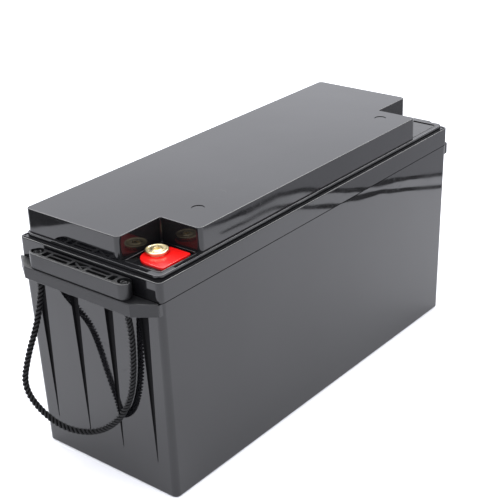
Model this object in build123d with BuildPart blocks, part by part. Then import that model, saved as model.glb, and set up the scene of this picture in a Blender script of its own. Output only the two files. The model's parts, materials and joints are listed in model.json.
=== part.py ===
"""Long 12.8 V lithium iron phosphate battery pack in a moulded case with rope handles.

Frame: the origin is at the centre of the case's underside, +X runs along the case,
+Y across it, +Z up.  The screw terminals are near the -Y side: positive at -X,
negative at +X.  Everything is in millimetres.
"""
import os
from math import pi, radians, tan

from build123d import *

os.makedirs("parts", exist_ok=True)

# ------------------------------------------------------------------ driving dimensions
# case
CASE_LENGTH, CASE_WIDTH = 446.0, 164.0            # at the underside
CASE_LENGTH_TOP, CASE_WIDTH_TOP = 453.4, 167.8    # at the lid's lower edge
CASE_CORNER = 5.5
BASE_EDGE = 2.0
WALL = 3.5
SKIRT_BASE = 194.6                                # where the lid's skirt meets the case
RIM_TOP = 209.8
RIM_GAP = 0.3
CAVITY_CORNER = 5.0
CAVITY_LENGTH = CASE_LENGTH - 2 * WALL
CAVITY_WIDTH = CASE_WIDTH - 2 * WALL

# end shelf, rope holes and the wedge grooves under the shelf
SHELF_REACH = 242.5
SHELF_BASE, SHELF_TOP = 184.0, 196.0
SHELF_FLAT, SHELF_HALF_WIDTH, SHELF_CHAMFER_X = 63.5, 83.0, 229.0
SHELF_EDGE = 0.9
ROPE_HOLE_X, ROPE_HOLE_Y = 234.5, 52.0
ROPE_HOLE_RADIUS = 4.0
GROOVE_CENTRES = (-63.0, -21.0, 21.0, 63.0)
GROOVE_HALF_WIDTH, GROOVE_TIP_WIDTH = 5.4, 0.8
GROOVE_TIP = 30.0
GROOVE_FLOOR_TIP, GROOVE_FLOOR_TOP = 223.55, 222.7

# rope
ROPE_DIAMETER = 6.0
ROPE_PIVOT_Z = SHELF_BASE - ROPE_DIAMETER / 2 - 0.1

# handle bar that stands on the shelf
BAR_X, BAR_WIDTH, BAR_LENGTH, BAR_TOP = 235.4, 14.2, 117.0, 211.0
BAR_POCKET_FLOOR = 202.0
BAR_FOOT_HEIGHT, BAR_FOOT_INSET = 1.8, 1.5

# lid
SKIRT_LENGTH, SKIRT_WIDTH, SKIRT_CORNER = 454.0, 168.4, 5.0
SKIRT_TOP = 213.8
SKIRT_WALL = 1.9
CEILING = 211.3
PLATFORM_LENGTH, PLATFORM_WIDTH, PLATFORM_TOP = 446.0, 160.8, 217.6
PLATFORM_CORNER = 6.5
PLATFORM_CEILING = 214.8
SHADOW_GROOVE = 1.0                               # above the skirt's lower edge

# raised top cover, notched at both ends of its -Y side
COVER_HALF_LENGTH, COVER_HALF_WIDTH, COVER_TOP = 221.0, 78.5, 240.0
COVER_WALL = 2.5
NOTCH_X, NOTCH_Y = 169.0, -34.0
COVER_CORNER, COVER_TOP_EDGE = 4.5, 0.7
NOTCH_CORNER_SHARE = 0.4                           # the notches' inner corners are tighter
WITNESS_SPOTS, WITNESS_RADIUS, WITNESS_DEPTH = ((-136.0, -48.0), (149.0, -49.0)), 6.0, 0.5

# terminals
TERMINAL_X, TERMINAL_Y = 188.0, -46.0
WELL_X = (171.0, 216.0)
WELL_Y = (-75.0, -36.0)
WELL_FLOOR = 215.2
WELL_CEILING = 212.8
WELL_LINE = 0.5                                    # height of the line round each well
PAD_TOP = 217.2
# from and to in X and in Y, then the radii of the corners at the back and at the front
PADS = {
    "positive": ((173.0, 208.5), (-71.0, -37.0), 15.0, 2.0),
    "negative": ((171.2, 215.8), (-74.8, -36.2), 1.4, 1.4),
}
INSERT_RADIUS, INSERT_FLANGE_RADIUS, INSERT_BASE, INSERT_TOP = 7.0, 10.0, 203.0, 217.3
INSERT_FLANGE_TOP = 216.4
BORE_RADIUS, BORE_BASE = 4.0, 205.8
WASHER_RADIUS, WASHER_THICKNESS = 8.6, 1.0
BOLT_SHANK_RADIUS, BOLT_SHANK_LENGTH = 3.7, 12.0
BOLT_HEAD_RADIUS, BOLT_HEAD_HEIGHT, BOLT_HEAD_EDGE = 10.3, 2.5, 0.9
SOCKET_ACROSS, SOCKET_DEPTH = 6.0, 2.0
LUG_THICKNESS = 2.0
TERMINAL_NUT_ACROSS, TERMINAL_NUT_HEIGHT = 19.0, 4.4

# cells: eight in a row, in four parallel pairs
CELL_COUNT = 8
CELL_THICKNESS, CELL_WIDTH, CELL_HEIGHT = 36.0, 130.0, 190.0
SPACER = 1.0
BASE_PAD = 2.0
CELL_FLOOR = WALL + BASE_PAD
CELL_TOP = CELL_FLOOR + CELL_HEIGHT
CELL_PITCH = CELL_THICKNESS + SPACER
END_FOAM, END_PLATE = 3.0, 3.0
STACK_START = -CAVITY_LENGTH / 2 + 0.2 + END_FOAM + END_PLATE
STACK_END = STACK_START + CELL_COUNT * CELL_PITCH - SPACER
POLE_Y, POLE_HEIGHT = 33.0, 3.0
BUSBAR_WIDTH, BUSBAR_THICKNESS = 20.0, 2.0
BUSBAR_BASE = CELL_TOP + POLE_HEIGHT
BUSBAR_TOP = BUSBAR_BASE + BUSBAR_THICKNESS
STRAP_THICKNESS, STRAP_HEIGHT = 0.8, 16.0

# battery management unit in the bay beyond the cells
BRACKET_X, BRACKET_THICKNESS = STACK_END + END_PLATE + 3.3, 2.0
UNIT_BASE, UNIT_TOP = 45.0, 165.0
SINK_THICKNESS, BOARD_THICKNESS, UNIT_COVER_DEPTH = 6.0, 1.6, 16.0
UNIT_HALF_WIDTH = 46.0
BAY_FOAM_X = 166.0

# leads
LEAD_DIAMETER, WIRE_DIAMETER = 8.0, 1.6
LEAD_Z = BUSBAR_TOP + 5.2
TERMINAL_LEAD_Z = 208.4


def cell_x(index):
    """Middle of the cell of this number, counted from 0 at the positive end."""
    return STACK_START + CELL_THICKNESS / 2 + index * CELL_PITCH


def keep(sub_part, name):
    """Label a finished piece and write it to its own file."""
    sub_part.label = name
    export_step(sub_part, f"parts/{name}.step")


def mirrored(sub_part):
    """The same piece at the other end of the case."""
    with BuildPart() as other_end:
        mirror(sub_part, about=Plane.YZ)
    return other_end.part


def raised_outline(z, inset, corner):
    """The top cover's plan: a rectangle with a notch at each end of its -Y side."""
    x, y = COVER_HALF_LENGTH - inset, COVER_HALF_WIDTH - inset
    notch_x, notch_y = NOTCH_X - inset, NOTCH_Y + inset
    with BuildSketch(Plane.XY.offset(z)) as outline:
        with BuildLine():
            Polyline(
                (-x, y), (-x, notch_y), (-notch_x, notch_y), (-notch_x, -y),
                (notch_x, -y), (notch_x, notch_y), (x, notch_y), (x, y),
                close=True,
            )
        make_face()
        outer = [v for v in outline.vertices() if abs(v.X) > x - 0.01 or v.Y < 0.01 - y]
        fillet(outer, corner)
        inner = [
            v for v in outline.vertices()
            if abs(abs(v.X) - notch_x) < 0.01 and abs(v.Y - notch_y) < 0.01
        ]
        fillet(inner, corner * NOTCH_CORNER_SHARE)
    return outline.sketch


def corner_radii(points):
    """The largest even bend at each inner point: 0.45 of its shorter run."""
    radii = []
    for before, here, after in zip(points, points[1:], points[2:]):
        run_in, run_out = Vector(*here) - Vector(*before), Vector(*after) - Vector(*here)
        turn = radians(run_in.get_angle(run_out))
        radii.append(0.45 * min(run_in.length, run_out.length) / tan(turn / 2))
    return radii


def tube(points, diameter, name):
    """A round cord along straight runs joined by tangent arcs."""
    radii = corner_radii(points)
    with BuildPart() as cord:
        with BuildLine():
            path = FilletPolyline(*points, radius=radii)
        with BuildSketch(Plane(origin=path @ 0, z_dir=path % 0)):
            Circle(diameter / 2)
        sweep()
    length = path.length
    section = pi * diameter ** 2 / 4
    ratio = cord.part.volume / (section * length)
    print(f"{name}: length {length:.1f}, volume ratio {ratio:.4f}, "
          f"radii {[round(r) for r in radii]}")
    return cord.part


# ------------------------------------------------------------------ case
with BuildPart() as case_box:
    with BuildSketch():
        RectangleRounded(CASE_LENGTH, CASE_WIDTH, CASE_CORNER)
    with BuildSketch(Plane.XY.offset(SKIRT_BASE)):
        RectangleRounded(CASE_LENGTH_TOP, CASE_WIDTH_TOP, CASE_CORNER)
    loft()
    fillet(case_box.faces().sort_by(Axis.Z)[0].edges(), BASE_EDGE)
    # the rim that the lid's skirt goes over
    with BuildSketch(Plane.XY.offset(SKIRT_BASE)):
        RectangleRounded(
            SKIRT_LENGTH - 2 * (SKIRT_WALL + RIM_GAP),
            SKIRT_WIDTH - 2 * (SKIRT_WALL + RIM_GAP),
            SKIRT_CORNER - SKIRT_WALL,
        )
    extrude(amount=RIM_TOP - SKIRT_BASE)
    # a shelf across each end, with bevelled corners; the handle bars stand on it
    with BuildSketch(Plane.XY.offset(SHELF_BASE)):
        for end in (-1, 1):
            with BuildLine():
                Polyline(
                    (end * (SHELF_CHAMFER_X - 7), -SHELF_HALF_WIDTH),
                    (end * SHELF_CHAMFER_X, -SHELF_HALF_WIDTH),
                    (end * SHELF_REACH, -SHELF_FLAT),
                    (end * SHELF_REACH, SHELF_FLAT),
                    (end * SHELF_CHAMFER_X, SHELF_HALF_WIDTH),
                    (end * (SHELF_CHAMFER_X - 7), SHELF_HALF_WIDTH),
                    close=True,
                )
            make_face()
    extrude(amount=SKIRT_BASE - SHELF_BASE)
    # the outer part of the shelf stands a little above the skirt's lower edge
    with BuildSketch(Plane.XY.offset(SKIRT_BASE)):
        for end in (-1, 1):
            with BuildLine():
                Polyline(
                    (end * (SKIRT_LENGTH / 2 + 0.6), -SHELF_HALF_WIDTH + 1),
                    (end * SHELF_CHAMFER_X, -SHELF_HALF_WIDTH),
                    (end * SHELF_REACH, -SHELF_FLAT),
                    (end * SHELF_REACH, SHELF_FLAT),
                    (end * SHELF_CHAMFER_X, SHELF_HALF_WIDTH),
                    (end * (SKIRT_LENGTH / 2 + 0.6), SHELF_HALF_WIDTH - 1),
                    close=True,
                )
            make_face()
    extrude(amount=SHELF_TOP - SKIRT_BASE)
    shelf_edges = [
        edge for level in (SHELF_BASE, SHELF_TOP)
        for edge in case_box.edges().filter_by_position(Axis.Z, level, level)
        if abs(edge.center().X) > SHELF_CHAMFER_X + 1
    ]
    fillet(shelf_edges, SHELF_EDGE)
    # the cavity has upright walls, so the drafted outside leaves them thicker upwards
    with BuildSketch(Plane.XY.offset(WALL)):
        RectangleRounded(CAVITY_LENGTH, CAVITY_WIDTH, CAVITY_CORNER)
    extrude(amount=RIM_TOP - WALL, mode=Mode.SUBTRACT)
    # wedge grooves: their floor leans in as the wall leans out, and meets it at the tip
    for end in (-1, 1):
        for y in GROOVE_CENTRES:
            with BuildSketch(Plane.XY.offset(SHELF_BASE)):
                with Locations((end * (GROOVE_FLOOR_TOP + SHELF_REACH) / 2, y)):
                    Rectangle(SHELF_REACH - GROOVE_FLOOR_TOP, 2 * GROOVE_HALF_WIDTH)
            with BuildSketch(Plane.XY.offset(GROOVE_TIP)):
                with Locations((end * (GROOVE_FLOOR_TIP + SHELF_REACH) / 2, y)):
                    Rectangle(SHELF_REACH - GROOVE_FLOOR_TIP, GROOVE_TIP_WIDTH)
            loft(mode=Mode.SUBTRACT)
    # rope holes through the shelf
    with Locations(*[
        (x, y, SHELF_TOP)
        for x in (-ROPE_HOLE_X, ROPE_HOLE_X) for y in (-ROPE_HOLE_Y, ROPE_HOLE_Y)
    ]):
        Hole(ROPE_HOLE_RADIUS, depth=SHELF_TOP - SHELF_BASE)
keep(case_box.part, "case_box")

# ------------------------------------------------------------------ lid
with BuildPart() as lid:
    with BuildSketch(Plane.XY.offset(SKIRT_BASE)):
        RectangleRounded(SKIRT_LENGTH, SKIRT_WIDTH, SKIRT_CORNER)
    extrude(amount=SKIRT_TOP - SKIRT_BASE)
    fillet(lid.faces().sort_by(Axis.Z)[-1].edges(), 0.8)
    # a shadow groove hides the joint between the skirt and the case
    with BuildSketch(Plane.XY.offset(SKIRT_BASE)):
        RectangleRounded(SKIRT_LENGTH + 2, SKIRT_WIDTH + 2, SKIRT_CORNER + 1)
        RectangleRounded(
            SKIRT_LENGTH - 2 * SHADOW_GROOVE,
            SKIRT_WIDTH - 2 * SHADOW_GROOVE,
            SKIRT_CORNER - SHADOW_GROOVE,
            mode=Mode.SUBTRACT,
        )
    extrude(amount=SHADOW_GROOVE, mode=Mode.SUBTRACT)
    # thin bead round the ledge
    with BuildSketch(Plane.XY.offset(SKIRT_TOP)):
        RectangleRounded(SKIRT_LENGTH - 3.4, SKIRT_WIDTH - 3.4, SKIRT_CORNER - 1.5)
        RectangleRounded(SKIRT_LENGTH - 5.4, SKIRT_WIDTH - 5.4, SKIRT_CORNER - 2.5, mode=Mode.SUBTRACT)
    extrude(amount=0.6)
    # raised platform
    with BuildSketch(Plane.XY.offset(SKIRT_TOP)):
        RectangleRounded(PLATFORM_LENGTH, PLATFORM_WIDTH, PLATFORM_CORNER)
    extrude(amount=PLATFORM_TOP - SKIRT_TOP)
    fillet(lid.faces().sort_by(Axis.Z)[-1].edges(), 0.6)
    # raised lines round the terminal wells, then the wells
    well_centres = [
        (end * sum(WELL_X) / 2, sum(WELL_Y) / 2, PLATFORM_TOP) for end in (-1, 1)
    ]
    well_size = (WELL_X[1] - WELL_X[0], WELL_Y[1] - WELL_Y[0])
    with BuildSketch(Plane.XY.offset(PLATFORM_TOP)):
        with Locations(*well_centres):
            RectangleRounded(well_size[0] + 2.4, well_size[1] + 2.4, 2.7)
    extrude(amount=WELL_LINE)
    with BuildSketch(Plane.XY.offset(WELL_FLOOR)):
        with Locations(*well_centres):
            RectangleRounded(*well_size, 1.5)
    extrude(amount=PLATFORM_TOP + WELL_LINE - WELL_FLOOR, mode=Mode.SUBTRACT)
    line_top = PLATFORM_TOP + WELL_LINE
    fillet(lid.edges().filter_by_position(Axis.Z, line_top, line_top), 0.42)
    # the rib that locates the top cover
    extrude(raised_outline(PLATFORM_TOP, COVER_WALL + 0.3, 2.0), amount=3.5)
    extrude(raised_outline(PLATFORM_TOP, COVER_WALL + 2.3, 1.5), amount=3.5, mode=Mode.SUBTRACT)
    # hollow underside
    with BuildSketch(Plane.XY.offset(SKIRT_BASE)):
        RectangleRounded(
            SKIRT_LENGTH - 2 * SKIRT_WALL,
            SKIRT_WIDTH - 2 * SKIRT_WALL,
            SKIRT_CORNER - SKIRT_WALL,
        )
    extrude(amount=CEILING - SKIRT_BASE, mode=Mode.SUBTRACT)
    with BuildSketch(Plane.XY.offset(CEILING)):
        RectangleRounded(CAVITY_LENGTH, CAVITY_WIDTH - 4, CAVITY_CORNER)
    extrude(amount=WELL_CEILING - CEILING, mode=Mode.SUBTRACT)
    extrude(raised_outline(WELL_CEILING, 6.0, 2.0), amount=PLATFORM_CEILING - WELL_CEILING,
            mode=Mode.SUBTRACT)
    # the opening under the top cover
    extrude(raised_outline(PLATFORM_CEILING, 16.0, 2.0), amount=PLATFORM_TOP - PLATFORM_CEILING,
            mode=Mode.SUBTRACT)
    # holes for the terminal inserts, with a seat for the sealing ring
    with Locations(*[(end * TERMINAL_X, TERMINAL_Y, WELL_FLOOR) for end in (-1, 1)]):
        CounterBoreHole(INSERT_RADIUS + 0.1, INSERT_RADIUS + 1.6, 1.4)
keep(lid.part, "lid")

with BuildPart() as lid_seal:
    with BuildSketch(Plane.XY.offset(RIM_TOP)):
        RectangleRounded(CAVITY_LENGTH + 8.5, CAVITY_WIDTH + 5.5, 5.0)
        RectangleRounded(CAVITY_LENGTH + 2.5, CAVITY_WIDTH + 1.0, 4.0, mode=Mode.SUBTRACT)
    extrude(amount=CEILING - RIM_TOP)
keep(lid_seal.part, "lid_seal")

with BuildPart() as top_cover:
    extrude(raised_outline(PLATFORM_TOP, 0, COVER_CORNER), amount=COVER_TOP - PLATFORM_TOP)
    fillet(top_cover.faces().sort_by(Axis.Z)[-1].edges(), COVER_TOP_EDGE)
    extrude(raised_outline(PLATFORM_TOP, COVER_WALL, 2.2),
            amount=COVER_TOP - COVER_WALL - PLATFORM_TOP, mode=Mode.SUBTRACT)
    # shallow round marks left by the mould's gates
    with BuildSketch(Plane.XY.offset(COVER_TOP)):
        with Locations(*WITNESS_SPOTS):
            Circle(WITNESS_RADIUS)
    extrude(amount=-WITNESS_DEPTH, mode=Mode.SUBTRACT)
keep(top_cover.part, "top_cover")

# ------------------------------------------------------------------ terminals
for end, polarity in ((-1, "positive"), (1, "negative")):
    axis_x = end * TERMINAL_X
    pad_x, pad_y, back_corner, front_corner = PADS[polarity]

    with BuildPart() as terminal_pad:
        with BuildSketch(Plane.XY.offset(WELL_FLOOR)) as pad_plan:
            with Locations((end * sum(pad_x) / 2, sum(pad_y) / 2)):
                Rectangle(pad_x[1] - pad_x[0], pad_y[1] - pad_y[0])
            fillet(pad_plan.vertices().group_by(Axis.Y)[-1], back_corner)
            fillet(pad_plan.vertices().group_by(Axis.Y)[0], front_corner)
        extrude(amount=PAD_TOP - WELL_FLOOR)
        fillet(terminal_pad.faces().sort_by(Axis.Z)[-1].edges(), 0.5)
        with Locations((axis_x, TERMINAL_Y, PAD_TOP)):
            Hole(INSERT_RADIUS + 0.2, depth=PAD_TOP - WELL_FLOOR)
        with BuildSketch(Plane.XY.offset(WELL_FLOOR)):
            with Locations((axis_x, TERMINAL_Y)):
                Circle(INSERT_FLANGE_RADIUS + 0.2)
        extrude(amount=INSERT_FLANGE_TOP - WELL_FLOOR, mode=Mode.SUBTRACT)
    keep(terminal_pad.part, f"terminal_pad_{polarity}")

    with BuildPart() as terminal_insert:
        with BuildSketch(Plane.XY.offset(INSERT_BASE)):
            with Locations((axis_x, TERMINAL_Y)):
                Circle(INSERT_RADIUS)
        extrude(amount=INSERT_TOP - INSERT_BASE)
        with BuildSketch(Plane.XY.offset(WELL_FLOOR)):
            with Locations((axis_x, TERMINAL_Y)):
                Circle(INSERT_FLANGE_RADIUS)
        extrude(amount=INSERT_FLANGE_TOP - WELL_FLOOR)
        with Locations((axis_x, TERMINAL_Y, INSERT_TOP)):
            Hole(BORE_RADIUS, depth=INSERT_TOP - BORE_BASE)
    keep(terminal_insert.part, f"terminal_insert_{polarity}")

    with BuildPart() as terminal_washer:
        with BuildSketch(Plane.XY.offset(INSERT_TOP)):
            with Locations((axis_x, TERMINAL_Y)):
                Circle(WASHER_RADIUS)
                Circle(BORE_RADIUS + 0.2, mode=Mode.SUBTRACT)
        extrude(amount=WASHER_THICKNESS)
    keep(terminal_washer.part, f"terminal_washer_{polarity}")

    head_base = INSERT_TOP + WASHER_THICKNESS
    with BuildPart() as terminal_bolt:
        with BuildSketch(Plane.XY.offset(head_base)):
            with Locations((axis_x, TERMINAL_Y)):
                Circle(BOLT_HEAD_RADIUS)
        extrude(amount=BOLT_HEAD_HEIGHT)
        fillet(terminal_bolt.edges().filter_by(GeomType.CIRCLE), BOLT_HEAD_EDGE)
        with BuildSketch(Plane.XY.offset(head_base)):
            with Locations((axis_x, TERMINAL_Y)):
                Circle(BOLT_SHANK_RADIUS)
        extrude(amount=-BOLT_SHANK_LENGTH)
        chamfer(terminal_bolt.faces().sort_by(Axis.Z)[0].edges(), 0.8)
        # hexagon socket in the head
        with BuildSketch(Plane.XY.offset(head_base + BOLT_HEAD_HEIGHT)):
            with Locations((axis_x, TERMINAL_Y)):
                RegularPolygon(SOCKET_ACROSS / 2, 6, major_radius=False)
        extrude(amount=-SOCKET_DEPTH, mode=Mode.SUBTRACT)
    keep(terminal_bolt.part, f"terminal_bolt_{polarity}")

    lug_base = WELL_CEILING - LUG_THICKNESS
    barrel_x = -end * 18.0
    with BuildPart() as terminal_lug:
        with BuildSketch(Plane.XY.offset(lug_base)):
            with Locations((axis_x, TERMINAL_Y)):
                Circle(11.0)
            with Locations((axis_x + barrel_x / 2, TERMINAL_Y)):
                Rectangle(abs(barrel_x), 10.0)
            with Locations((axis_x, TERMINAL_Y)):
                Circle(INSERT_RADIUS + 0.1, mode=Mode.SUBTRACT)
        extrude(amount=LUG_THICKNESS)
        with BuildSketch(Plane.YZ.offset(axis_x - end * 13.0)):
            with Locations((TERMINAL_Y, TERMINAL_LEAD_Z - 0.6)):
                Circle(5.0)
        extrude(amount=-end * 13.0)
        with BuildSketch(Plane.YZ.offset(axis_x - end * 26.0)):
            with Locations((TERMINAL_Y, TERMINAL_LEAD_Z - 0.6)):
                Circle(LEAD_DIAMETER / 2 + 0.05)
        extrude(amount=end * 9.0, mode=Mode.SUBTRACT)
    keep(terminal_lug.part, f"terminal_lug_{polarity}")

with BuildPart() as terminal_o_rings:
    with BuildSketch(Plane.XY.offset(WELL_FLOOR - 1.4)):
        for end in (-1, 1):
            with Locations((end * TERMINAL_X, TERMINAL_Y)):
                Circle(INSERT_RADIUS + 1.5)
        for end in (-1, 1):
            with Locations((end * TERMINAL_X, TERMINAL_Y)):
                Circle(INSERT_RADIUS, mode=Mode.SUBTRACT)
    extrude(amount=1.4)
keep(terminal_o_rings.part, "terminal_o_rings")

with BuildPart() as terminal_nuts:
    with BuildSketch(Plane.XY.offset(WELL_CEILING - LUG_THICKNESS)):
        with Locations((-TERMINAL_X, TERMINAL_Y), (TERMINAL_X, TERMINAL_Y)):
            RegularPolygon(TERMINAL_NUT_ACROSS / 2, 6, major_radius=False)
            Circle(INSERT_RADIUS, mode=Mode.SUBTRACT)
    extrude(amount=-TERMINAL_NUT_HEIGHT)
keep(terminal_nuts.part, "terminal_nuts")

# ------------------------------------------------------------------ handles
with BuildPart() as handle_bar_left:
    with BuildSketch(Plane.XY.offset(SHELF_TOP + BAR_FOOT_HEIGHT)):
        with Locations((-BAR_X, 0)):
            SlotOverall(BAR_LENGTH, BAR_WIDTH, rotation=90)
    extrude(amount=BAR_TOP - SHELF_TOP - BAR_FOOT_HEIGHT)
    fillet(handle_bar_left.faces().sort_by(Axis.Z)[-1].edges(), 0.7)
    # the bar stands on a smaller foot, which leaves a dark line under it
    with BuildSketch(Plane.XY.offset(SHELF_TOP)):
        with Locations((-BAR_X, 0)):
            SlotOverall(
                BAR_LENGTH - 2 * BAR_FOOT_INSET, BAR_WIDTH - 2 * BAR_FOOT_INSET, rotation=90,
            )
    extrude(amount=BAR_FOOT_HEIGHT)
    with BuildSketch(Plane.XY.offset(BAR_TOP)):
        # end pockets for the rope's knots, and a small pocket beside each
        with Locations((-BAR_X + 0.9, -ROPE_HOLE_Y), (-BAR_X + 0.9, ROPE_HOLE_Y)):
            SlotOverall(12.5, 10.6, rotation=90)
        with Locations((-BAR_X, -40.0), (-BAR_X, 40.0)):
            RectangleRounded(8.0, 6.0, 1.2)
        # two rows of long slots
        with Locations(*[(-BAR_X + dx, y) for dx in (-2.7, 2.7) for y in (-23.0, 23.0)]):
            SlotOverall(23.0, 3.4, rotation=90)
        # four triangles leave a cross in the middle
        with Locations((-BAR_X, 0)):
            Rectangle(9.0, 17.0)
    extrude(amount=BAR_POCKET_FLOOR - BAR_TOP, mode=Mode.SUBTRACT)
    with BuildSketch(Plane.XY.offset(BAR_POCKET_FLOOR)):
        with Locations((-BAR_X, 0)):
            Rectangle(1.8, 18.0, rotation=26)
            Rectangle(1.8, 18.0, rotation=-26)
    extrude(amount=BAR_TOP - 0.8 - BAR_POCKET_FLOOR)
    with Locations((-ROPE_HOLE_X, -ROPE_HOLE_Y, BAR_TOP), (-ROPE_HOLE_X, ROPE_HOLE_Y, BAR_TOP)):
        Hole(ROPE_HOLE_RADIUS, depth=BAR_TOP - SHELF_TOP)
keep(handle_bar_left.part, "handle_bar_left")
keep(mirrored(handle_bar_left.part), "handle_bar_right")

# each rope end: the stretch inside the holes, and the knot that stops it in the bar
with BuildPart() as rope_ends_left:
    with BuildSketch(Plane.XY.offset(SHELF_BASE)):
        with Locations((-ROPE_HOLE_X, -ROPE_HOLE_Y), (-ROPE_HOLE_X, ROPE_HOLE_Y)):
            Circle(ROPE_DIAMETER / 2)
    extrude(amount=BAR_POCKET_FLOOR - SHELF_BASE + 1)
    with BuildSketch(Plane.XY.offset(BAR_POCKET_FLOOR)):
        with Locations((-ROPE_HOLE_X, -ROPE_HOLE_Y), (-ROPE_HOLE_X, ROPE_HOLE_Y)):
            Circle(4.9)
    extrude(amount=8.4)
    fillet(rope_ends_left.faces().sort_by(Axis.Z)[-2:].edges(), 3.0)
keep(rope_ends_left.part, "rope_ends_left")
keep(mirrored(rope_ends_left.part), "rope_ends_right")

# the hanging loop; its round ends turn in the mouths of the holes
ROPE_ROUTE = [
    (-ROPE_HOLE_X, ROPE_HOLE_Y, ROPE_PIVOT_Z),
    (-239.5, 51.0, 162.5), (-249.5, 48.5, 143.0), (-263.0, 48.5, 119.0),
    (-271.0, 49.0, 93.0), (-265.5, 36.0, 69.0), (-255.0, 15.5, 52.0),
    (-240.0, -5.5, 49.0), (-233.5, -28.0, 66.0), (-230.0, -42.0, 91.5),
    (-230.2, -48.6, 119.0), (-230.5, -51.2, 150.0), (-232.0, -51.5, 170.0),
    (-ROPE_HOLE_X, -ROPE_HOLE_Y, ROPE_PIVOT_Z),
]
rope_tube = tube(ROPE_ROUTE, ROPE_DIAMETER, "rope_handle")
with BuildPart() as rope_handle_left:
    add(rope_tube)
    with Locations(ROPE_ROUTE[0], ROPE_ROUTE[-1]):
        Sphere(ROPE_DIAMETER / 2)
keep(rope_handle_left.part, "rope_handle_left")
keep(mirrored(rope_handle_left.part), "rope_handle_right")

# ------------------------------------------------------------------ cells
for number in range(CELL_COUNT):
    with BuildPart() as cell:
        with BuildSketch(Plane.XY.offset(CELL_FLOOR)):
            with Locations((cell_x(number), 0)):
                RectangleRounded(CELL_THICKNESS, CELL_WIDTH, 3.0)
        extrude(amount=CELL_HEIGHT)
    keep(cell.part, f"cell_{number + 1}")

with BuildPart() as cell_poles:
    with BuildSketch(Plane.XY.offset(CELL_TOP)):
        with Locations(*[(cell_x(n), y) for n in range(CELL_COUNT) for y in (-POLE_Y, POLE_Y)]):
            RectangleRounded(16.0, 22.0, 2.0)
    extrude(amount=POLE_HEIGHT)
keep(cell_poles.part, "cell_poles")

with BuildPart() as cell_vents:
    with BuildSketch(Plane.XY.offset(CELL_TOP)):
        with Locations(*[(cell_x(n), 0) for n in range(CELL_COUNT)]):
            SlotOverall(20.0, 11.0, rotation=90)
    extrude(amount=0.6)
keep(cell_vents.part, "cell_vents")

with BuildPart() as cell_spacers:
    with BuildSketch(Plane.XY.offset(CELL_FLOOR)):
        with Locations(*[
            (cell_x(n) + CELL_PITCH / 2, 0) for n in range(CELL_COUNT - 1)
        ]):
            Rectangle(SPACER, CELL_WIDTH - 2)
    extrude(amount=CELL_HEIGHT - 2)
keep(cell_spacers.part, "cell_spacers")

for name, plate_x in (
    ("end_plate_left", STACK_START - END_PLATE / 2),
    ("end_plate_right", STACK_END + END_PLATE / 2),
):
    with BuildPart() as end_plate:
        with BuildSketch(Plane.XY.offset(CELL_FLOOR)):
            with Locations((plate_x, 0)):
                Rectangle(END_PLATE, CELL_WIDTH)
        extrude(amount=CELL_HEIGHT - 4)
        fillet(end_plate.edges().filter_by(Axis.X).group_by(Axis.Z)[-1], 6.0)
    keep(end_plate.part, name)

STRAP_LENGTH = STACK_END - STACK_START + 2 * END_PLATE
with BuildPart() as strap_bands:
    for strap_z in (CELL_FLOOR + 36, CELL_FLOOR + 138):
        with BuildSketch(Plane.XY.offset(strap_z)):
            with Locations(((STACK_START + STACK_END) / 2, 0)):
                Rectangle(STRAP_LENGTH + 2 * STRAP_THICKNESS, CELL_WIDTH + 2 * STRAP_THICKNESS)
                Rectangle(STRAP_LENGTH, CELL_WIDTH, mode=Mode.SUBTRACT)
        extrude(amount=STRAP_HEIGHT)
keep(strap_bands.part, "strap_bands")

# ------------------------------------------------------------------ foam and boards
with BuildPart() as base_pad:
    with BuildSketch(Plane.XY.offset(WALL)):
        RectangleRounded(CAVITY_LENGTH - 0.6, CAVITY_WIDTH - 0.6, CAVITY_CORNER)
    extrude(amount=BASE_PAD)
keep(base_pad.part, "base_pad")

SIDE_FOAM = CAVITY_WIDTH / 2 - CELL_WIDTH / 2 - STRAP_THICKNESS - 0.4
with BuildPart() as side_foam_pads:
    with BuildSketch(Plane.XY.offset(CELL_FLOOR)):
        for side in (-1, 1):
            with Locations((
                (STACK_START + STACK_END) / 2,
                side * (CAVITY_WIDTH / 2 - 0.2 - SIDE_FOAM / 2),
            )):
                Rectangle(STACK_END - STACK_START, SIDE_FOAM)
    extrude(amount=CELL_HEIGHT - 6)
keep(side_foam_pads.part, "side_foam_pads")

with BuildPart() as end_foam:
    with BuildSketch(Plane.XY.offset(CELL_FLOOR)):
        with Locations((-CAVITY_LENGTH / 2 + 0.2 + END_FOAM / 2 - 0.4, 0)):
            Rectangle(END_FOAM - 1.0, CELL_WIDTH)
    extrude(amount=CELL_HEIGHT - 6)
keep(end_foam.part, "end_foam")

with BuildPart() as bay_foam_block:
    with BuildSketch(Plane.XY.offset(CELL_FLOOR)):
        with Locations(((BAY_FOAM_X + CAVITY_LENGTH / 2 - 0.3) / 2, 0)):
            RectangleRounded(CAVITY_LENGTH / 2 - 0.3 - BAY_FOAM_X, CAVITY_WIDTH - 0.6, 4.0)
    extrude(amount=150.0)
keep(bay_foam_block.part, "bay_foam_block")

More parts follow.
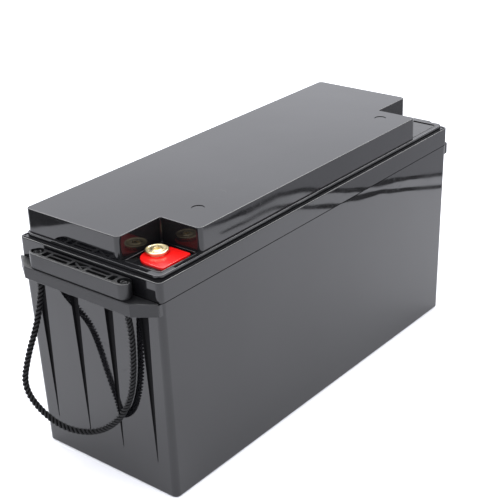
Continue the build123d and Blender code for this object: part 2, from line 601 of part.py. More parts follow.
# ------------------------------------------------------------------ busbars
# (name, first cell, cells joined, pole row): four pairs in series
BUSBARS = (
    ("pack_positive_busbar", 0, 2, POLE_Y),
    ("series_link_1", 0, 4, -POLE_Y),
    ("series_link_2", 2, 4, POLE_Y),
    ("series_link_3", 4, 4, -POLE_Y),
    ("pack_negative_busbar", 6, 2, POLE_Y),
)
for name, first, joined, y in BUSBARS:
    middle = (cell_x(first) + cell_x(first + joined - 1)) / 2
    with BuildPart() as busbar:
        with BuildSketch(Plane.XY.offset(BUSBAR_BASE)):
            with Locations((middle, y)):
                RectangleRounded((joined - 1) * CELL_PITCH + 18.0, BUSBAR_WIDTH, 3.0)
            # a weld window over each pole and a relief slot between neighbours
            with Locations(*[(cell_x(first + k), y) for k in range(joined)]):
                Circle(2.5, mode=Mode.SUBTRACT)
            with Locations(*[
                (cell_x(first + k) + CELL_PITCH / 2, y + dy)
                for k in range(joined - 1) for dy in (-6.0, 6.0)
            ]):
                SlotOverall(10.0, 2.4, mode=Mode.SUBTRACT)
            if joined == 2:
                with Locations((middle, y)):
                    Circle(3.1, mode=Mode.SUBTRACT)
        extrude(amount=BUSBAR_THICKNESS)
    keep(busbar.part, name)

POSITIVE_LUG_X = (cell_x(0) + cell_x(1)) / 2
NEGATIVE_LUG_X = (cell_x(6) + cell_x(7)) / 2
LUG_REACH = 20.0
with BuildPart() as busbar_lugs:
    with BuildSketch(Plane.XY.offset(BUSBAR_TOP)):
        for x in (POSITIVE_LUG_X, NEGATIVE_LUG_X):
            with Locations((x, POLE_Y)):
                Circle(7.5)
            with Locations((x + 6.0, POLE_Y)):
                Rectangle(12.0, 8.0)
        for x in (POSITIVE_LUG_X, NEGATIVE_LUG_X):
            with Locations((x, POLE_Y)):
                Circle(3.1, mode=Mode.SUBTRACT)
    extrude(amount=LUG_THICKNESS)
    for x in (POSITIVE_LUG_X, NEGATIVE_LUG_X):
        with BuildSketch(Plane.YZ.offset(x + 9.0)):
            with Locations((POLE_Y, LEAD_Z)):
                Circle(5.0)
        extrude(amount=LUG_REACH - 9.0 + 4.0)
        with BuildSketch(Plane.YZ.offset(x + LUG_REACH + 4.0)):
            with Locations((POLE_Y, LEAD_Z)):
                Circle(LEAD_DIAMETER / 2 + 0.05)
        extrude(amount=-9.0, mode=Mode.SUBTRACT)
keep(busbar_lugs.part, "busbar_lugs")

with BuildPart() as busbar_screws:
    with BuildSketch(Plane.XY.offset(BUSBAR_TOP + LUG_THICKNESS)):
        with Locations((POSITIVE_LUG_X, POLE_Y), (NEGATIVE_LUG_X, POLE_Y)):
            RegularPolygon(5.0, 6, major_radius=False)
    extrude(amount=4.0)
    with BuildSketch(Plane.XY.offset(BUSBAR_TOP + LUG_THICKNESS)):
        with Locations((POSITIVE_LUG_X, POLE_Y), (NEGATIVE_LUG_X, POLE_Y)):
            Circle(3.0)
    extrude(amount=-6.0)
keep(busbar_screws.part, "busbar_screws")

# ------------------------------------------------------------------ management unit
with BuildPart() as unit_bracket:
    with BuildSketch(Plane.XZ.offset(-55.0)):
        with BuildLine():
            Polyline(
                (BRACKET_X, CELL_FLOOR), (BRACKET_X + 58, CELL_FLOOR),
                (BRACKET_X + 58, CELL_FLOOR + BRACKET_THICKNESS),
                (BRACKET_X + BRACKET_THICKNESS, CELL_FLOOR + BRACKET_THICKNESS),
                (BRACKET_X + BRACKET_THICKNESS, UNIT_TOP + 6), (BRACKET_X, UNIT_TOP + 6),
                close=True,
            )
        make_face()
    extrude(amount=110.0)
keep(unit_bracket.part, "unit_bracket")

SINK_X = BRACKET_X + BRACKET_THICKNESS
with BuildPart() as unit_heat_sink:
    with BuildSketch(Plane.XY.offset(UNIT_BASE)):
        with Locations((SINK_X + SINK_THICKNESS / 2, 0)):
            Rectangle(SINK_THICKNESS, 2 * UNIT_HALF_WIDTH + 8)
        # grooves along its edges where it stands proud of the cover
        with Locations(*[
            (SINK_X + SINK_THICKNESS, side * (UNIT_HALF_WIDTH + 2)) for side in (-1, 1)
        ]):
            Rectangle(3.0, 1.5, mode=Mode.SUBTRACT)
    extrude(amount=UNIT_TOP - UNIT_BASE)
keep(unit_heat_sink.part, "unit_heat_sink")

BOARD_X = SINK_X + SINK_THICKNESS
UNIT_MIDDLE_Z = (UNIT_BASE + UNIT_TOP) / 2
UNIT_HEIGHT = UNIT_TOP - UNIT_BASE
with BuildPart() as unit_board:
    with BuildSketch(Plane.YZ.offset(BOARD_X)):
        with Locations((0, UNIT_MIDDLE_Z)):
            Rectangle(2 * UNIT_HALF_WIDTH - 8, UNIT_HEIGHT - 8)
    extrude(amount=BOARD_THICKNESS)
keep(unit_board.part, "unit_board")

with BuildPart() as unit_transistors:
    with BuildSketch(Plane.YZ.offset(BOARD_X + BOARD_THICKNESS)):
        with GridLocations(10.0, 26.0, 8, 2):
            with Locations((0, UNIT_MIDDLE_Z)):
                Rectangle(6.5, 9.0)
    extrude(amount=2.4)
keep(unit_transistors.part, "unit_transistors")

SENSE_CONNECTOR_Y = -22.0
with BuildPart() as unit_cover:
    with BuildSketch(Plane.YZ.offset(BOARD_X)):
        with Locations((0, UNIT_MIDDLE_Z)):
            RectangleRounded(2 * UNIT_HALF_WIDTH, UNIT_HEIGHT, 3.0)
    extrude(amount=UNIT_COVER_DEPTH)
    fillet(unit_cover.faces().sort_by(Axis.X)[-1].edges(), 1.5)
    with BuildSketch(Plane.YZ.offset(BOARD_X)):
        with Locations((0, UNIT_MIDDLE_Z)):
            Rectangle(2 * UNIT_HALF_WIDTH - 7, UNIT_HEIGHT - 7)
    extrude(amount=UNIT_COVER_DEPTH - 2.0, mode=Mode.SUBTRACT)
keep(unit_cover.part, "unit_cover")

COVER_FACE_X = BOARD_X + UNIT_COVER_DEPTH
with BuildPart() as unit_screws:
    with BuildSketch(Plane.YZ.offset(COVER_FACE_X)):
        with GridLocations(2 * UNIT_HALF_WIDTH - 9, UNIT_HEIGHT - 9, 2, 2):
            with Locations((0, UNIT_MIDDLE_Z)):
                Circle(2.6)
    extrude(amount=1.8)
keep(unit_screws.part, "unit_screws")

with BuildPart() as sense_connector:
    with BuildSketch(Plane.XY.offset(UNIT_TOP)):
        with Locations((BOARD_X + 8.0, SENSE_CONNECTOR_Y)):
            RectangleRounded(6.0, 20.0, 1.0)
    extrude(amount=9.0)
keep(sense_connector.part, "sense_connector")

# ------------------------------------------------------------------ leads
POSITIVE_LEAD_ROUTE = [
    (POSITIVE_LUG_X + LUG_REACH - 4.9, POLE_Y, LEAD_Z),
    (POSITIVE_LUG_X + 48, POLE_Y, LEAD_Z),
    (POSITIVE_LUG_X + 84, 20.0, LEAD_Z + 1.2),
    (POSITIVE_LUG_X + 90, -14.0, LEAD_Z + 2.0),
    (POSITIVE_LUG_X + 66, -40.0, LEAD_Z + 2.6),
    (POSITIVE_LUG_X + 30, TERMINAL_Y, TERMINAL_LEAD_Z - 0.6),
    (-TERMINAL_X + 17.1, TERMINAL_Y, TERMINAL_LEAD_Z - 0.6),
]
positive_lead = tube(POSITIVE_LEAD_ROUTE, LEAD_DIAMETER, "positive_lead")
keep(positive_lead, "positive_lead")

NEGATIVE_LEAD_ROUTE = [
    (COVER_FACE_X, -30.0, 105.0),
    (COVER_FACE_X + 18, -30.0, 105.0),
    (COVER_FACE_X + 34, -33.0, 126.0),
    (COVER_FACE_X + 32, -38.0, 156.0),
    (COVER_FACE_X + 26, -43.0, 186.0),
    (COVER_FACE_X + 39, TERMINAL_Y, TERMINAL_LEAD_Z - 0.6),
    (TERMINAL_X - 17.1, TERMINAL_Y, TERMINAL_LEAD_Z - 0.6),
]
negative_lead = tube(NEGATIVE_LEAD_ROUTE, LEAD_DIAMETER, "negative_lead")
keep(negative_lead, "negative_lead")

UNIT_LEAD_ROUTE = [
    (NEGATIVE_LUG_X + LUG_REACH - 4.9, POLE_Y, LEAD_Z),
    (NEGATIVE_LUG_X + 40, POLE_Y, LEAD_Z),
    (BOARD_X + 4.0, 32.0, LEAD_Z - 4.0),
    (BOARD_X + 9.0, 30.0, UNIT_TOP + 16.0),
    (BOARD_X + 9.0, 30.0, UNIT_TOP),
]
unit_lead = tube(UNIT_LEAD_ROUTE, LEAD_DIAMETER, "unit_lead")
keep(unit_lead, "unit_lead")

# one thin wire from each busbar to the unit's connector
SENSE_TAPS = (
    (cell_x(0) + 9.0, POLE_Y, 4.0), (cell_x(1) + 5.0, -POLE_Y, 2.0),
    (cell_x(3) + 5.0, POLE_Y, 0.0), (cell_x(5) + 5.0, -POLE_Y, -2.0),
    (cell_x(6) + 5.0, POLE_Y, -4.0),
)
wires = []
for tap_x, tap_y, lane in SENSE_TAPS:
    side = 1 if tap_y > 0 else -1
    edge_y = tap_y - side * (BUSBAR_WIDTH / 2 - 1.0)
    wire_z = BUSBAR_TOP + WIRE_DIAMETER / 2
    connector_y = SENSE_CONNECTOR_Y - 2 * lane
    wires.append(tube([
        (tap_x, edge_y, wire_z),
        (tap_x + 1, edge_y - side * 7, wire_z + 0.4),
        (tap_x + 8, lane, CELL_TOP + 4.5),
        (STACK_END - 4, lane, CELL_TOP + 4.5),
        (BOARD_X + 8, connector_y, CELL_TOP + 1.0),
        (BOARD_X + 8, connector_y, UNIT_TOP + 9.0),
    ], WIRE_DIAMETER, "sense_wire"))
sense_harness = Compound(children=wires)
keep(sense_harness, "sense_harness")
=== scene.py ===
# %% [markdown]
# A long battery pack in a polished black case: how its looks are made.
#
# The moulded case, lid, cells and terminals come ready-shaped from the imported model, which
# stands at the origin, upright, in metres.  This script gives each of them a finish and adds
# what a solid model leaves out: laid rope, a real screw thread, weld beads, soft foam and
# leads.

import json
import math

import bmesh
import bpy
import numpy as np
from mathutils import Matrix, Vector, noise


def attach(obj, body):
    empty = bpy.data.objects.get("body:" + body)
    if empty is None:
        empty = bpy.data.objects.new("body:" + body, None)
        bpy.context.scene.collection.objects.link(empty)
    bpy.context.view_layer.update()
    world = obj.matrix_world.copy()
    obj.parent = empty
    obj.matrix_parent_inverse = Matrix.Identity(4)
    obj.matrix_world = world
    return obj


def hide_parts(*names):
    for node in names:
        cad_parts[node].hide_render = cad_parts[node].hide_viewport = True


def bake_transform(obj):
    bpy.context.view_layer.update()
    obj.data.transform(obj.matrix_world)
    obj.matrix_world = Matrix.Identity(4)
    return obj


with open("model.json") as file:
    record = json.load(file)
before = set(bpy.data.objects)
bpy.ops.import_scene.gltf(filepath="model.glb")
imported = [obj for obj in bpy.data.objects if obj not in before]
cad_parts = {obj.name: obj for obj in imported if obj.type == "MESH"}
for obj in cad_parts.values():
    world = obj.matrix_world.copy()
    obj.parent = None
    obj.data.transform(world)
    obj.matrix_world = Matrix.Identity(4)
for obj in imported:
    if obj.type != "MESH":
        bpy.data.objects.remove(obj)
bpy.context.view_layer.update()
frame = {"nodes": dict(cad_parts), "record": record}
nodes = frame["nodes"]
MM = 0.001

# %% [markdown]
# The camera comes first, because it decides what detail can be seen.  It looks down on the
# corner with the positive terminal, a little rolled, from a bit over a metre away.

# %% Camera
VIEW_AZIMUTH, VIEW_ELEVATION, VIEW_ROLL = (math.radians(a) for a in (-50.34, 24.99, -2.24))
VIEW_TARGET = Vector((-0.0102, 0.0, 0.1384))
VIEW_DISTANCE = 1.171
VIEW_LENS, SENSOR_WIDTH = 84.6, 36.0


def make_camera():
    """A camera behind the target along the view's azimuth and elevation."""
    level = math.cos(VIEW_ELEVATION)
    back = Vector((
        math.sin(VIEW_AZIMUTH) * level, -math.cos(VIEW_AZIMUTH) * level, math.sin(VIEW_ELEVATION),
    ))
    right = Vector((math.cos(VIEW_AZIMUTH), math.sin(VIEW_AZIMUTH), 0.0))
    up = back.cross(right)
    rolled_right = right * math.cos(VIEW_ROLL) + up * math.sin(VIEW_ROLL)
    rolled_up = back.cross(rolled_right)
    data = bpy.data.cameras.new("camera")
    data.lens = VIEW_LENS
    data.sensor_width = SENSOR_WIDTH
    camera = bpy.data.objects.new("camera", data)
    turn = Matrix((rolled_right, rolled_up, back)).transposed().to_4x4()
    camera.matrix_world = Matrix.Translation(VIEW_TARGET + back * VIEW_DISTANCE) @ turn
    bpy.context.scene.collection.objects.link(camera)
    bpy.context.scene.camera = camera
    return camera


camera = make_camera()
print("camera at", tuple(round(v, 3) for v in camera.location))

# %% [markdown]
# Node trees are easier to read as arithmetic.  `Value` wraps one socket, and + - * / on it
# add Math nodes; the reflected forms let a plain number stand on the left, as in 1 - mask.
# `Graph.node` makes any other node: its settings first, then its sockets.  The same two
# classes serve materials and Geometry Nodes.


# %% Node arithmetic
class Value:
    """A number that varies inside a node tree."""

    def __init__(self, graph, socket):
        self.graph, self.socket = graph, socket

    def math(self, operation, *operands):
        """One Math node whose first input is this value."""
        sockets = dict(enumerate((self, *operands)))
        return self.graph.value("ShaderNodeMath", {"operation": operation}, sockets)

    def __add__(self, other):
        return self.math("ADD", other)

    __radd__ = __add__

    def __sub__(self, other):
        return self.math("SUBTRACT", other)

    def __rsub__(self, other):
        sockets = {0: other, 1: self}
        return self.graph.value("ShaderNodeMath", {"operation": "SUBTRACT"}, sockets)

    def __mul__(self, other):
        return self.math("MULTIPLY", other)

    __rmul__ = __mul__

    def __truediv__(self, other):
        return self.math("DIVIDE", other)

    def sine(self):
        return self.math("SINE")

    def magnitude(self):
        return self.math("ABSOLUTE")

    def above(self, level, softness):
        """0 below the level and 1 above it, over a soft step."""
        return self.graph.value(
            "ShaderNodeMapRange",
            {"interpolation_type": "SMOOTHSTEP"},
            {"Value": self, "From Min": level - softness, "From Max": level + softness},
        )


class Graph:
    """A node tree under construction."""

    def __init__(self, tree):
        self.tree = tree

    def node(self, kind, settings=None, sockets=None):
        """Any node: its settings are made first, then its sockets are filled or linked."""
        node = self.tree.nodes.new(kind)
        for name, setting in (settings or {}).items():
            setattr(node, name, setting)
        for key, given in (sockets or {}).items():
            given = given.socket if isinstance(given, Value) else given
            if isinstance(given, bpy.types.NodeSocket):
                self.tree.links.new(given, node.inputs[key])
            else:
                node.inputs[key].default_value = given
        return node

    def value(self, kind, settings=None, sockets=None, output=0):
        """A node of any kind whose output is wanted for arithmetic."""
        return Value(self, self.node(kind, settings, sockets).outputs[output])

    def axes(self, vector):
        """The X, Y and Z of a vector as three values."""
        parts = self.node("ShaderNodeSeparateXYZ", None, {0: vector}).outputs
        return [Value(self, parts[axis]) for axis in "XYZ"]


# %% [markdown]
# A finish is one Principled shader.  What is the same all over is set on its own sockets;
# what varies is linked.  Patterns read Object coordinates, in metres, so their scale is the
# real one: a noise of scale 900 has specks of about a millimetre.  Where part of a piece was
# never polished, a second dull shader lies over the first through a mask.


# %% Finishes
class Finish(Graph):
    """A material whose constants are Principled sockets and whose variations are links."""

    def __init__(self, name, **constants):
        self.material = bpy.data.materials.new(name)
        self.material.use_nodes = True
        super().__init__(self.material.node_tree)
        self.tree.nodes.clear()
        self.shader = self.node("ShaderNodeBsdfPrincipled")
        self.surface = self.node("ShaderNodeOutputMaterial").inputs["Surface"]
        self.tree.links.new(self.shader.outputs["BSDF"], self.surface)
        for socket, constant in constants.items():
            self.shader.inputs[socket.replace("_", " ")].default_value = constant
        self.place = self.node("ShaderNodeTexCoord").outputs["Object"]

    def vary(self, socket, given):
        """Let a socket of the shader follow a value or a colour."""
        source = given.socket if isinstance(given, Value) else given
        self.tree.links.new(source, self.shader.inputs[socket])

    def stretched(self, scale, centre=(0, 0, 0), turn=(0, 0, 0)):
        """Object coordinates moved to a centre, turned and scaled."""
        moved = self.node("ShaderNodeVectorMath", {"operation": "SUBTRACT"},
                          {0: self.place, 1: centre})
        mapped = self.node("ShaderNodeMapping", None, {
            "Vector": moved.outputs[0], "Rotation": turn, "Scale": scale,
        })
        return mapped.outputs[0]

    def noise(self, scale, detail=3.0, vector=None):
        """Cloudy patches, 0 to 1."""
        return self.value("ShaderNodeTexNoise", None, {
            "Vector": vector or self.place, "Scale": scale, "Detail": detail,
        })

    def cells(self, scale, vector=None, feature="F1"):
        """Distance from scattered points, or from the edges between their cells."""
        return self.value("ShaderNodeTexVoronoi", {"feature": feature}, {
            "Vector": vector or self.place, "Scale": scale,
        })

    def colours(self, factor, first, second):
        """A colour between two, by a factor."""
        mixed = self.node("ShaderNodeMix", {"data_type": "RGBA"}, {
            "Factor": factor, 6: (*first, 1.0), 7: (*second, 1.0),
        })
        return mixed.outputs[2]

    def relief(self, height, depth):
        """Feed a height pattern, of this real depth in metres, to the shader's normal."""
        bump = self.node("ShaderNodeBump", None, {
            "Height": height, "Distance": depth, "Strength": 1.0,
        })
        self.vary("Normal", bump.outputs["Normal"])

    def cover_with(self, mask, colour, roughness=0.75, shine=0.12):
        """Lay a second, dull shader over the first where the mask is 1."""
        dull = self.node("ShaderNodeBsdfPrincipled", None, {
            "Base Color": (*colour, 1.0), "Roughness": roughness, "Specular IOR Level": shine,
        })
        mixed = self.node("ShaderNodeMixShader", None, {
            0: mask, 1: self.shader.outputs["BSDF"], 2: dull.outputs["BSDF"],
        })
        self.tree.links.new(mixed.outputs["Shader"], self.surface)


# %% [markdown]
# The case, lid and cover are moulded in black plastic from a mirror-polished tool.  Such a
# face is never quite flat or clean: it has slow waves from shrinking, faint smudges, a little
# dust and hairlines from wiping.  All of these are small, so the colour hardly changes; most
# of the work is done by the roughness and by a relief of under a millimetre.


# %% Polished plastic
HAIRLINE_WIDTH, HAIRLINE_TURNS = 0.012, (0.35, 1.9)


def fine_scratches(finish, scale):
    """Thin straight hairlines in two directions, in patches."""
    marks = []
    for turn in HAIRLINE_TURNS:
        lanes = finish.stretched((scale, scale * 0.03, scale), turn=(0.2, 0.1, turn))
        edges = finish.cells(1.0, lanes, feature="DISTANCE_TO_EDGE")
        patch = finish.noise(14.0 + turn, 2.0).above(0.58, 0.05)
        marks.append(edges.math("LESS_THAN", HAIRLINE_WIDTH) * patch)
    return marks[0] + marks[1]


def polished_plastic(name, dark, light, gloss=0.025, grip=None, dull=None):
    """Moulded ABS from a polished tool: mirror-like, with faint waves, smudges and dust.

    The grip, where there is one, is a mask of where the tool was spark-textured instead,
    and dull masks a dull near-black shader laid on top, as painted shade in the recesses.
    """
    finish = Finish(name, IOR=1.5)
    smudge = finish.noise(9.0, 4.0).above(0.5, 0.16)
    dust = finish.cells(420.0).above(0.075, 0.02)
    specks = (1 - dust) * finish.noise(23.0, 2.0).above(0.55, 0.1)
    hairs = fine_scratches(finish, 160.0)
    finish.vary("Base Color", finish.colours(smudge * 0.35 + specks * 0.65, dark, light))
    roughness = smudge * 0.035 + specks * 0.3 + hairs * 0.12 + gloss
    relief = finish.noise(7.0, 0.0) + finish.noise(24.0, 1.0) * 0.12
    if grip:
        textured = grip(finish)
        roughness = roughness + textured * 0.36
        relief = relief + textured * finish.cells(1300.0) * 0.1
    finish.vary("Roughness", roughness)
    finish.relief(relief, 0.0008)
    # painted shade: where the dull mask is 1, a dull near-black shader covers the polish
    if dull:
        finish.cover_with(dull(finish), dark)
    return finish.material


# %% [markdown]
# The polish does not reach everywhere.  The end shelves and the handle bars were left with a
# fine spark-eroded grain, for grip.  The wedge grooves are painted with shade: a dull
# near-black shader lies over them, at half strength over the walls of the terminal notches,
# and a little over the shelves.  One material serves the whole case: masks worked out from
# the position pick these places.


# %% Where the polish stops, and where shade is painted
SHELF_MIDDLE_X, SHELF_BASE_Z = 227.2 * MM, 183.6 * MM
CASE_HALF_LENGTH, CASE_DRAFT = 223.0 * MM, 3.7 / 194.6
CAVITY_HALF_LENGTH, GROOVE_DEPTH_SEEN = 221.5 * MM, 0.08 * MM
GROOVES_HALF_WIDTH, GROOVE_TIPS_Z, GROOVE_TOPS_Z = 69.5 * MM, 29.0 * MM, 184.5 * MM
NOTCH_FROM_X, NOTCH_FROM_Y = 168.8 * MM, -33.8 * MM
NOTCH_LOW, NOTCH_HIGH = 218.2 * MM, 239.3 * MM
# how strongly the notch walls take the painted shade, and how much the shelves are dulled
NOTCH_SHADE_SHARE, SHELF_DULLNESS = 0.5, 0.17
CRISP, SOFT = 0.1 * MM, 0.3 * MM


def shelf_only(finish):
    """1 on the shelves at the two ends of the case, 0 elsewhere."""
    x, _, height = finish.axes(finish.place)
    return x.magnitude().above(SHELF_MIDDLE_X, 2 * CRISP) * height.above(SHELF_BASE_Z, 2 * CRISP)


def grooves_only(finish):
    """1 inside the wedge grooves of the two ends: below the leaning wall's own surface."""
    x, y, height = finish.axes(finish.place)
    outward = x.magnitude()
    depth = height * CASE_DRAFT + CASE_HALF_LENGTH - outward
    sunk = depth.above(GROOVE_DEPTH_SEEN, 0.4 * CRISP) * outward.above(CAVITY_HALF_LENGTH, CRISP)
    among_grooves = 1 - y.magnitude().above(GROOVES_HALF_WIDTH, CRISP)
    below_shelf = 1 - height.above(GROOVE_TOPS_Z, CRISP)
    return sunk * among_grooves * height.above(GROOVE_TIPS_Z, 5 * CRISP) * below_shelf


def notch_walls_only(finish):
    """The upright walls of the two terminal notches."""
    x, y, height = finish.axes(finish.place)
    corner = x.magnitude().above(NOTCH_FROM_X, CRISP) * (1 - y.above(NOTCH_FROM_Y, CRISP))
    return corner * height.above(NOTCH_LOW, SOFT) * (1 - height.above(NOTCH_HIGH, SOFT))


def painted_shade_and_dull_shelves(finish):
    """Painted shade in the grooves and, at half strength, on the notch walls; a little dulling on
    the shelves.
    """
    partly = notch_walls_only(finish) * NOTCH_SHADE_SHARE + shelf_only(finish) * SHELF_DULLNESS
    return grooves_only(finish) + partly


def everywhere(finish):
    """The whole piece, with the texture a little worn in places."""
    return 1 - finish.noise(40.0, 3.0) * 0.25


# %% [markdown]
# The terminals are turned brass and the cells' bars and cans are rolled sheet.  Each way of
# working leaves its own marks, and they are what tells the two apart: fine rings about the
# axis on one, straight streaks along the sheet on the other, and a thin uneven tarnish.


# %% Metals
def turned_metal(name, dark, light, centre, rings=2600.0, gloss=0.24):
    """Lathe-turned metal: fine rings about an upright axis, with a slight tarnish."""
    finish = Finish(name, Metallic=1.0)
    spot = finish.node("ShaderNodeVectorMath", {"operation": "SUBTRACT"},
                       {0: finish.place, 1: centre}).outputs[0]
    flat = finish.node("ShaderNodeVectorMath", {"operation": "MULTIPLY"},
                       {0: spot, 1: (1, 1, 0)}).outputs[0]
    radius = finish.value("ShaderNodeVectorMath", {"operation": "LENGTH"}, {0: flat}, "Value")
    ring = (radius * rings * 2 * math.pi).sine() * 0.5 + 0.5
    tarnish = finish.noise(260.0, 4.0)
    finish.vary("Base Color", finish.colours(tarnish.above(0.52, 0.2), light, dark))
    finish.vary("Roughness", tarnish * 0.22 + ring * 0.05 + gloss)
    finish.relief(ring * 0.5 + finish.noise(3000.0, 2.0) * 0.4, 0.00002)
    return finish.material


def rolled_metal(name, dark, light, grain=(30.0, 2200.0, 2200.0), gloss=0.26):
    """Rolled sheet: fine streaks along one direction."""
    finish = Finish(name, Metallic=1.0)
    streaks = finish.noise(1.0, 4.0, finish.stretched(grain))
    stains = finish.noise(38.0, 4.0)
    finish.vary("Base Color", finish.colours(stains * 0.6 + streaks * 0.4, dark, light))
    finish.vary("Roughness", streaks * 0.18 + stains * 0.1 + gloss)
    finish.relief(streaks, 0.00002)
    return finish.material


# %% [markdown]
# The rope is twisted polypropylene.  Each strand shows its own yarns as fine slanting lines,
# and the furrows between the strands are painted near-black as shade.  The rope's tree stores
# how far along and how far round its strand each point is, so the material can draw both.


# %% Rope fibre
YARNS, YARN_LAY = 9.0, 17.0 * MM
STRAND_TOP, STRAND_TOP_SOFTNESS = 0.28, 0.4


def rope_fibre(name):
    """Yarn lines from the stored angle and distance, and painted shade, black, between the
    strands.
    """
    finish = Finish(name, Specular_IOR_Level=0.32)
    around = finish.node("ShaderNodeAttribute", {"attribute_name": "around"}).outputs["Vector"]
    along = finish.value("ShaderNodeAttribute", {"attribute_name": "along"}, output="Fac")
    outward, sideways, _ = finish.axes(around)
    angle = sideways.math("ARCTAN2", outward)
    yarn = (angle * YARNS - along * (2 * math.pi * YARNS / YARN_LAY)).sine() * 0.5 + 0.5
    fray = finish.noise(1800.0, 3.0)
    finish.vary("Base Color", finish.colours(
        yarn * 0.5 + fray * 0.5, (0.002, 0.002, 0.0025), (0.012, 0.012, 0.013)))
    finish.vary("Roughness", 0.55 - yarn * 0.18 + fray * 0.1)
    finish.relief(yarn * 0.8 + fray * 0.35, 0.00022)
    # painted shade: the furrows between the strands are covered with a near-black dull shader
    furrow_shade = 1 - angle.math("COSINE").above(STRAND_TOP, STRAND_TOP_SOFTNESS)
    finish.cover_with(furrow_shade, (0.002, 0.002, 0.002))
    return finish.material


# %% [markdown]
# Inside, the cells are wrapped in shrunk blue film, padded with black foam and kept apart by
# glass-fibre board.  These are seen only when the lid is lifted, but each has one pattern
# that names it: puckers in the film, open cells in the foam, a plain weave in the board.


# %% Film, foam and board
def wrapped_film(name, dark, light):
    """Heat-shrunk film over a can: glossy, with soft puckers and handling marks."""
    finish = Finish(name, Coat_Weight=0.5, Coat_Roughness=0.08)
    pucker = finish.noise(16.0, 3.0, finish.stretched((1.0, 1.0, 0.35)))
    grain = finish.noise(600.0, 2.0)
    finish.vary("Base Color", finish.colours(pucker * 0.8 + grain * 0.2, dark, light))
    finish.vary("Roughness", pucker * 0.16 + 0.18)
    finish.relief(pucker + grain * 0.02, 0.0012)
    return finish.material


def foam_skin(name, dark, light):
    """Closed-cell foam: a matt sheet pitted with small open cells."""
    finish = Finish(name)
    pores = finish.cells(700.0)
    shade = finish.noise(40.0, 3.0)
    finish.vary("Base Color", finish.colours(pores * 0.9 + shade * 0.3, dark, light))
    finish.vary("Roughness", 0.96 - shade * 0.14)
    finish.relief(pores + shade * 0.6, 0.0006)
    return finish.material


WEAVE_SCALE = 4200.0


def woven_board(name, dark, light):
    """Glass-fibre board: a fine plain weave seen through resin."""
    finish = Finish(name)
    _, warp, weft = finish.axes(finish.place)
    weave = (warp * WEAVE_SCALE).sine() * (weft * WEAVE_SCALE).sine() * 0.5 + 0.5
    blotch = finish.noise(30.0, 3.0)
    finish.vary("Base Color", finish.colours(weave * 0.5 + blotch * 0.5, dark, light))
    finish.vary("Roughness", blotch * 0.2 + 0.32)
    finish.relief(weave, 0.00005)
    return finish.material


# %% [markdown]
# The leads have soft silicone jackets, which dust clings to, and the management unit's cover
# and the seals are plain plastic and rubber with an even grain from the tool.


# %% Jackets, covers and seals
def soft_jacket(name, dark, light):
    """Silicone insulation: satin, with dust clinging and faint extrusion lines."""
    finish = Finish(name)
    dust = finish.noise(160.0, 4.0)
    drag = finish.noise(45.0, 2.0)
    dusty = dust.above(0.56, 0.12) * 0.7 + drag * 0.3
    finish.vary("Base Color", finish.colours(dusty, dark, light))
    finish.vary("Roughness", dust * 0.25 + 0.34)
    finish.relief(drag + dust * 0.15, 0.00035)
    return finish.material


def spark_texture(name, dark, light, gloss=0.42):
    """Plastic from a spark-eroded tool: a fine even grain."""
    finish = Finish(name)
    grain = finish.cells(1500.0)
    wear = finish.noise(60.0, 3.0)
    finish.vary("Base Color", finish.colours(wear * 0.7 + grain * 0.3, dark, light))
    finish.vary("Roughness", wear * 0.15 + grain * 0.1 + gloss)
    finish.relief(grain, 0.00012)
    return finish.material


# %% [markdown]
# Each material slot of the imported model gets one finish.  The terminals get one for each
# end, so that the lathe rings are centred on each screw, and the handle bars share the case's
# colours but are grained all over.

# %% One finish for each slot
TERMINAL_X, TERMINAL_Y = 188.0 * MM, -46.0 * MM
BLACK, DUSTY_BLACK = (0.003, 0.003, 0.0035), (0.009, 0.009, 0.010)
finishes = {
    "case_plastic": polished_plastic(
        "case_plastic", BLACK, DUSTY_BLACK, grip=shelf_only, dull=painted_shade_and_dull_shelves),
    "bar_plastic": polished_plastic("bar_plastic", BLACK, DUSTY_BLACK, grip=everywhere),
    "red_plastic": polished_plastic(
        "red_plastic", (0.72, 0.004, 0.004), (0.85, 0.02, 0.015), gloss=0.17),
    "black_pad_plastic": polished_plastic(
        "black_pad_plastic", (0.004, 0.004, 0.004), (0.012, 0.012, 0.012), gloss=0.12),
    "seal_rubber": spark_texture("seal_rubber", (0.012, 0.012, 0.012), (0.03, 0.03, 0.03), 0.6),
    "rope_fibre": rope_fibre("rope_fibre"),
    "cell_film": wrapped_film("cell_film", (0.006, 0.045, 0.26), (0.015, 0.10, 0.42)),
    "cell_aluminium": rolled_metal("cell_aluminium", (0.55, 0.56, 0.58), (0.82, 0.83, 0.85)),
    "spacer_board": woven_board("spacer_board", (0.34, 0.38, 0.16), (0.50, 0.52, 0.26)),
    "strap_steel": rolled_metal("strap_steel", (0.36, 0.36, 0.37), (0.62, 0.62, 0.64)),
    "foam": foam_skin("foam", (0.018, 0.018, 0.02), (0.06, 0.06, 0.065)),
    "busbar_copper": rolled_metal("busbar_copper", (0.62, 0.24, 0.12), (0.86, 0.46, 0.28)),
    "unit_board": woven_board("unit_board", (0.006, 0.07, 0.03), (0.012, 0.14, 0.05)),
    "unit_plastic": spark_texture("unit_plastic", (0.012, 0.012, 0.013), (0.035, 0.035, 0.037)),
    "positive_lead_jacket": soft_jacket(
        "positive_lead_jacket", (0.42, 0.006, 0.006), (0.58, 0.03, 0.025)),
    "negative_lead_jacket": soft_jacket(
        "negative_lead_jacket", (0.008, 0.008, 0.008), (0.03, 0.03, 0.03)),
}
BRASS_DARK, BRASS_LIGHT = (0.70, 0.58, 0.30), (0.92, 0.80, 0.52)
for end, polarity in ((-1, "positive"), (1, "negative")):
    finishes[f"terminal_brass_{polarity}"] = turned_metal(
        f"terminal_brass_{polarity}", BRASS_DARK, BRASS_LIGHT,
        centre=(end * TERMINAL_X, TERMINAL_Y, 0.0))


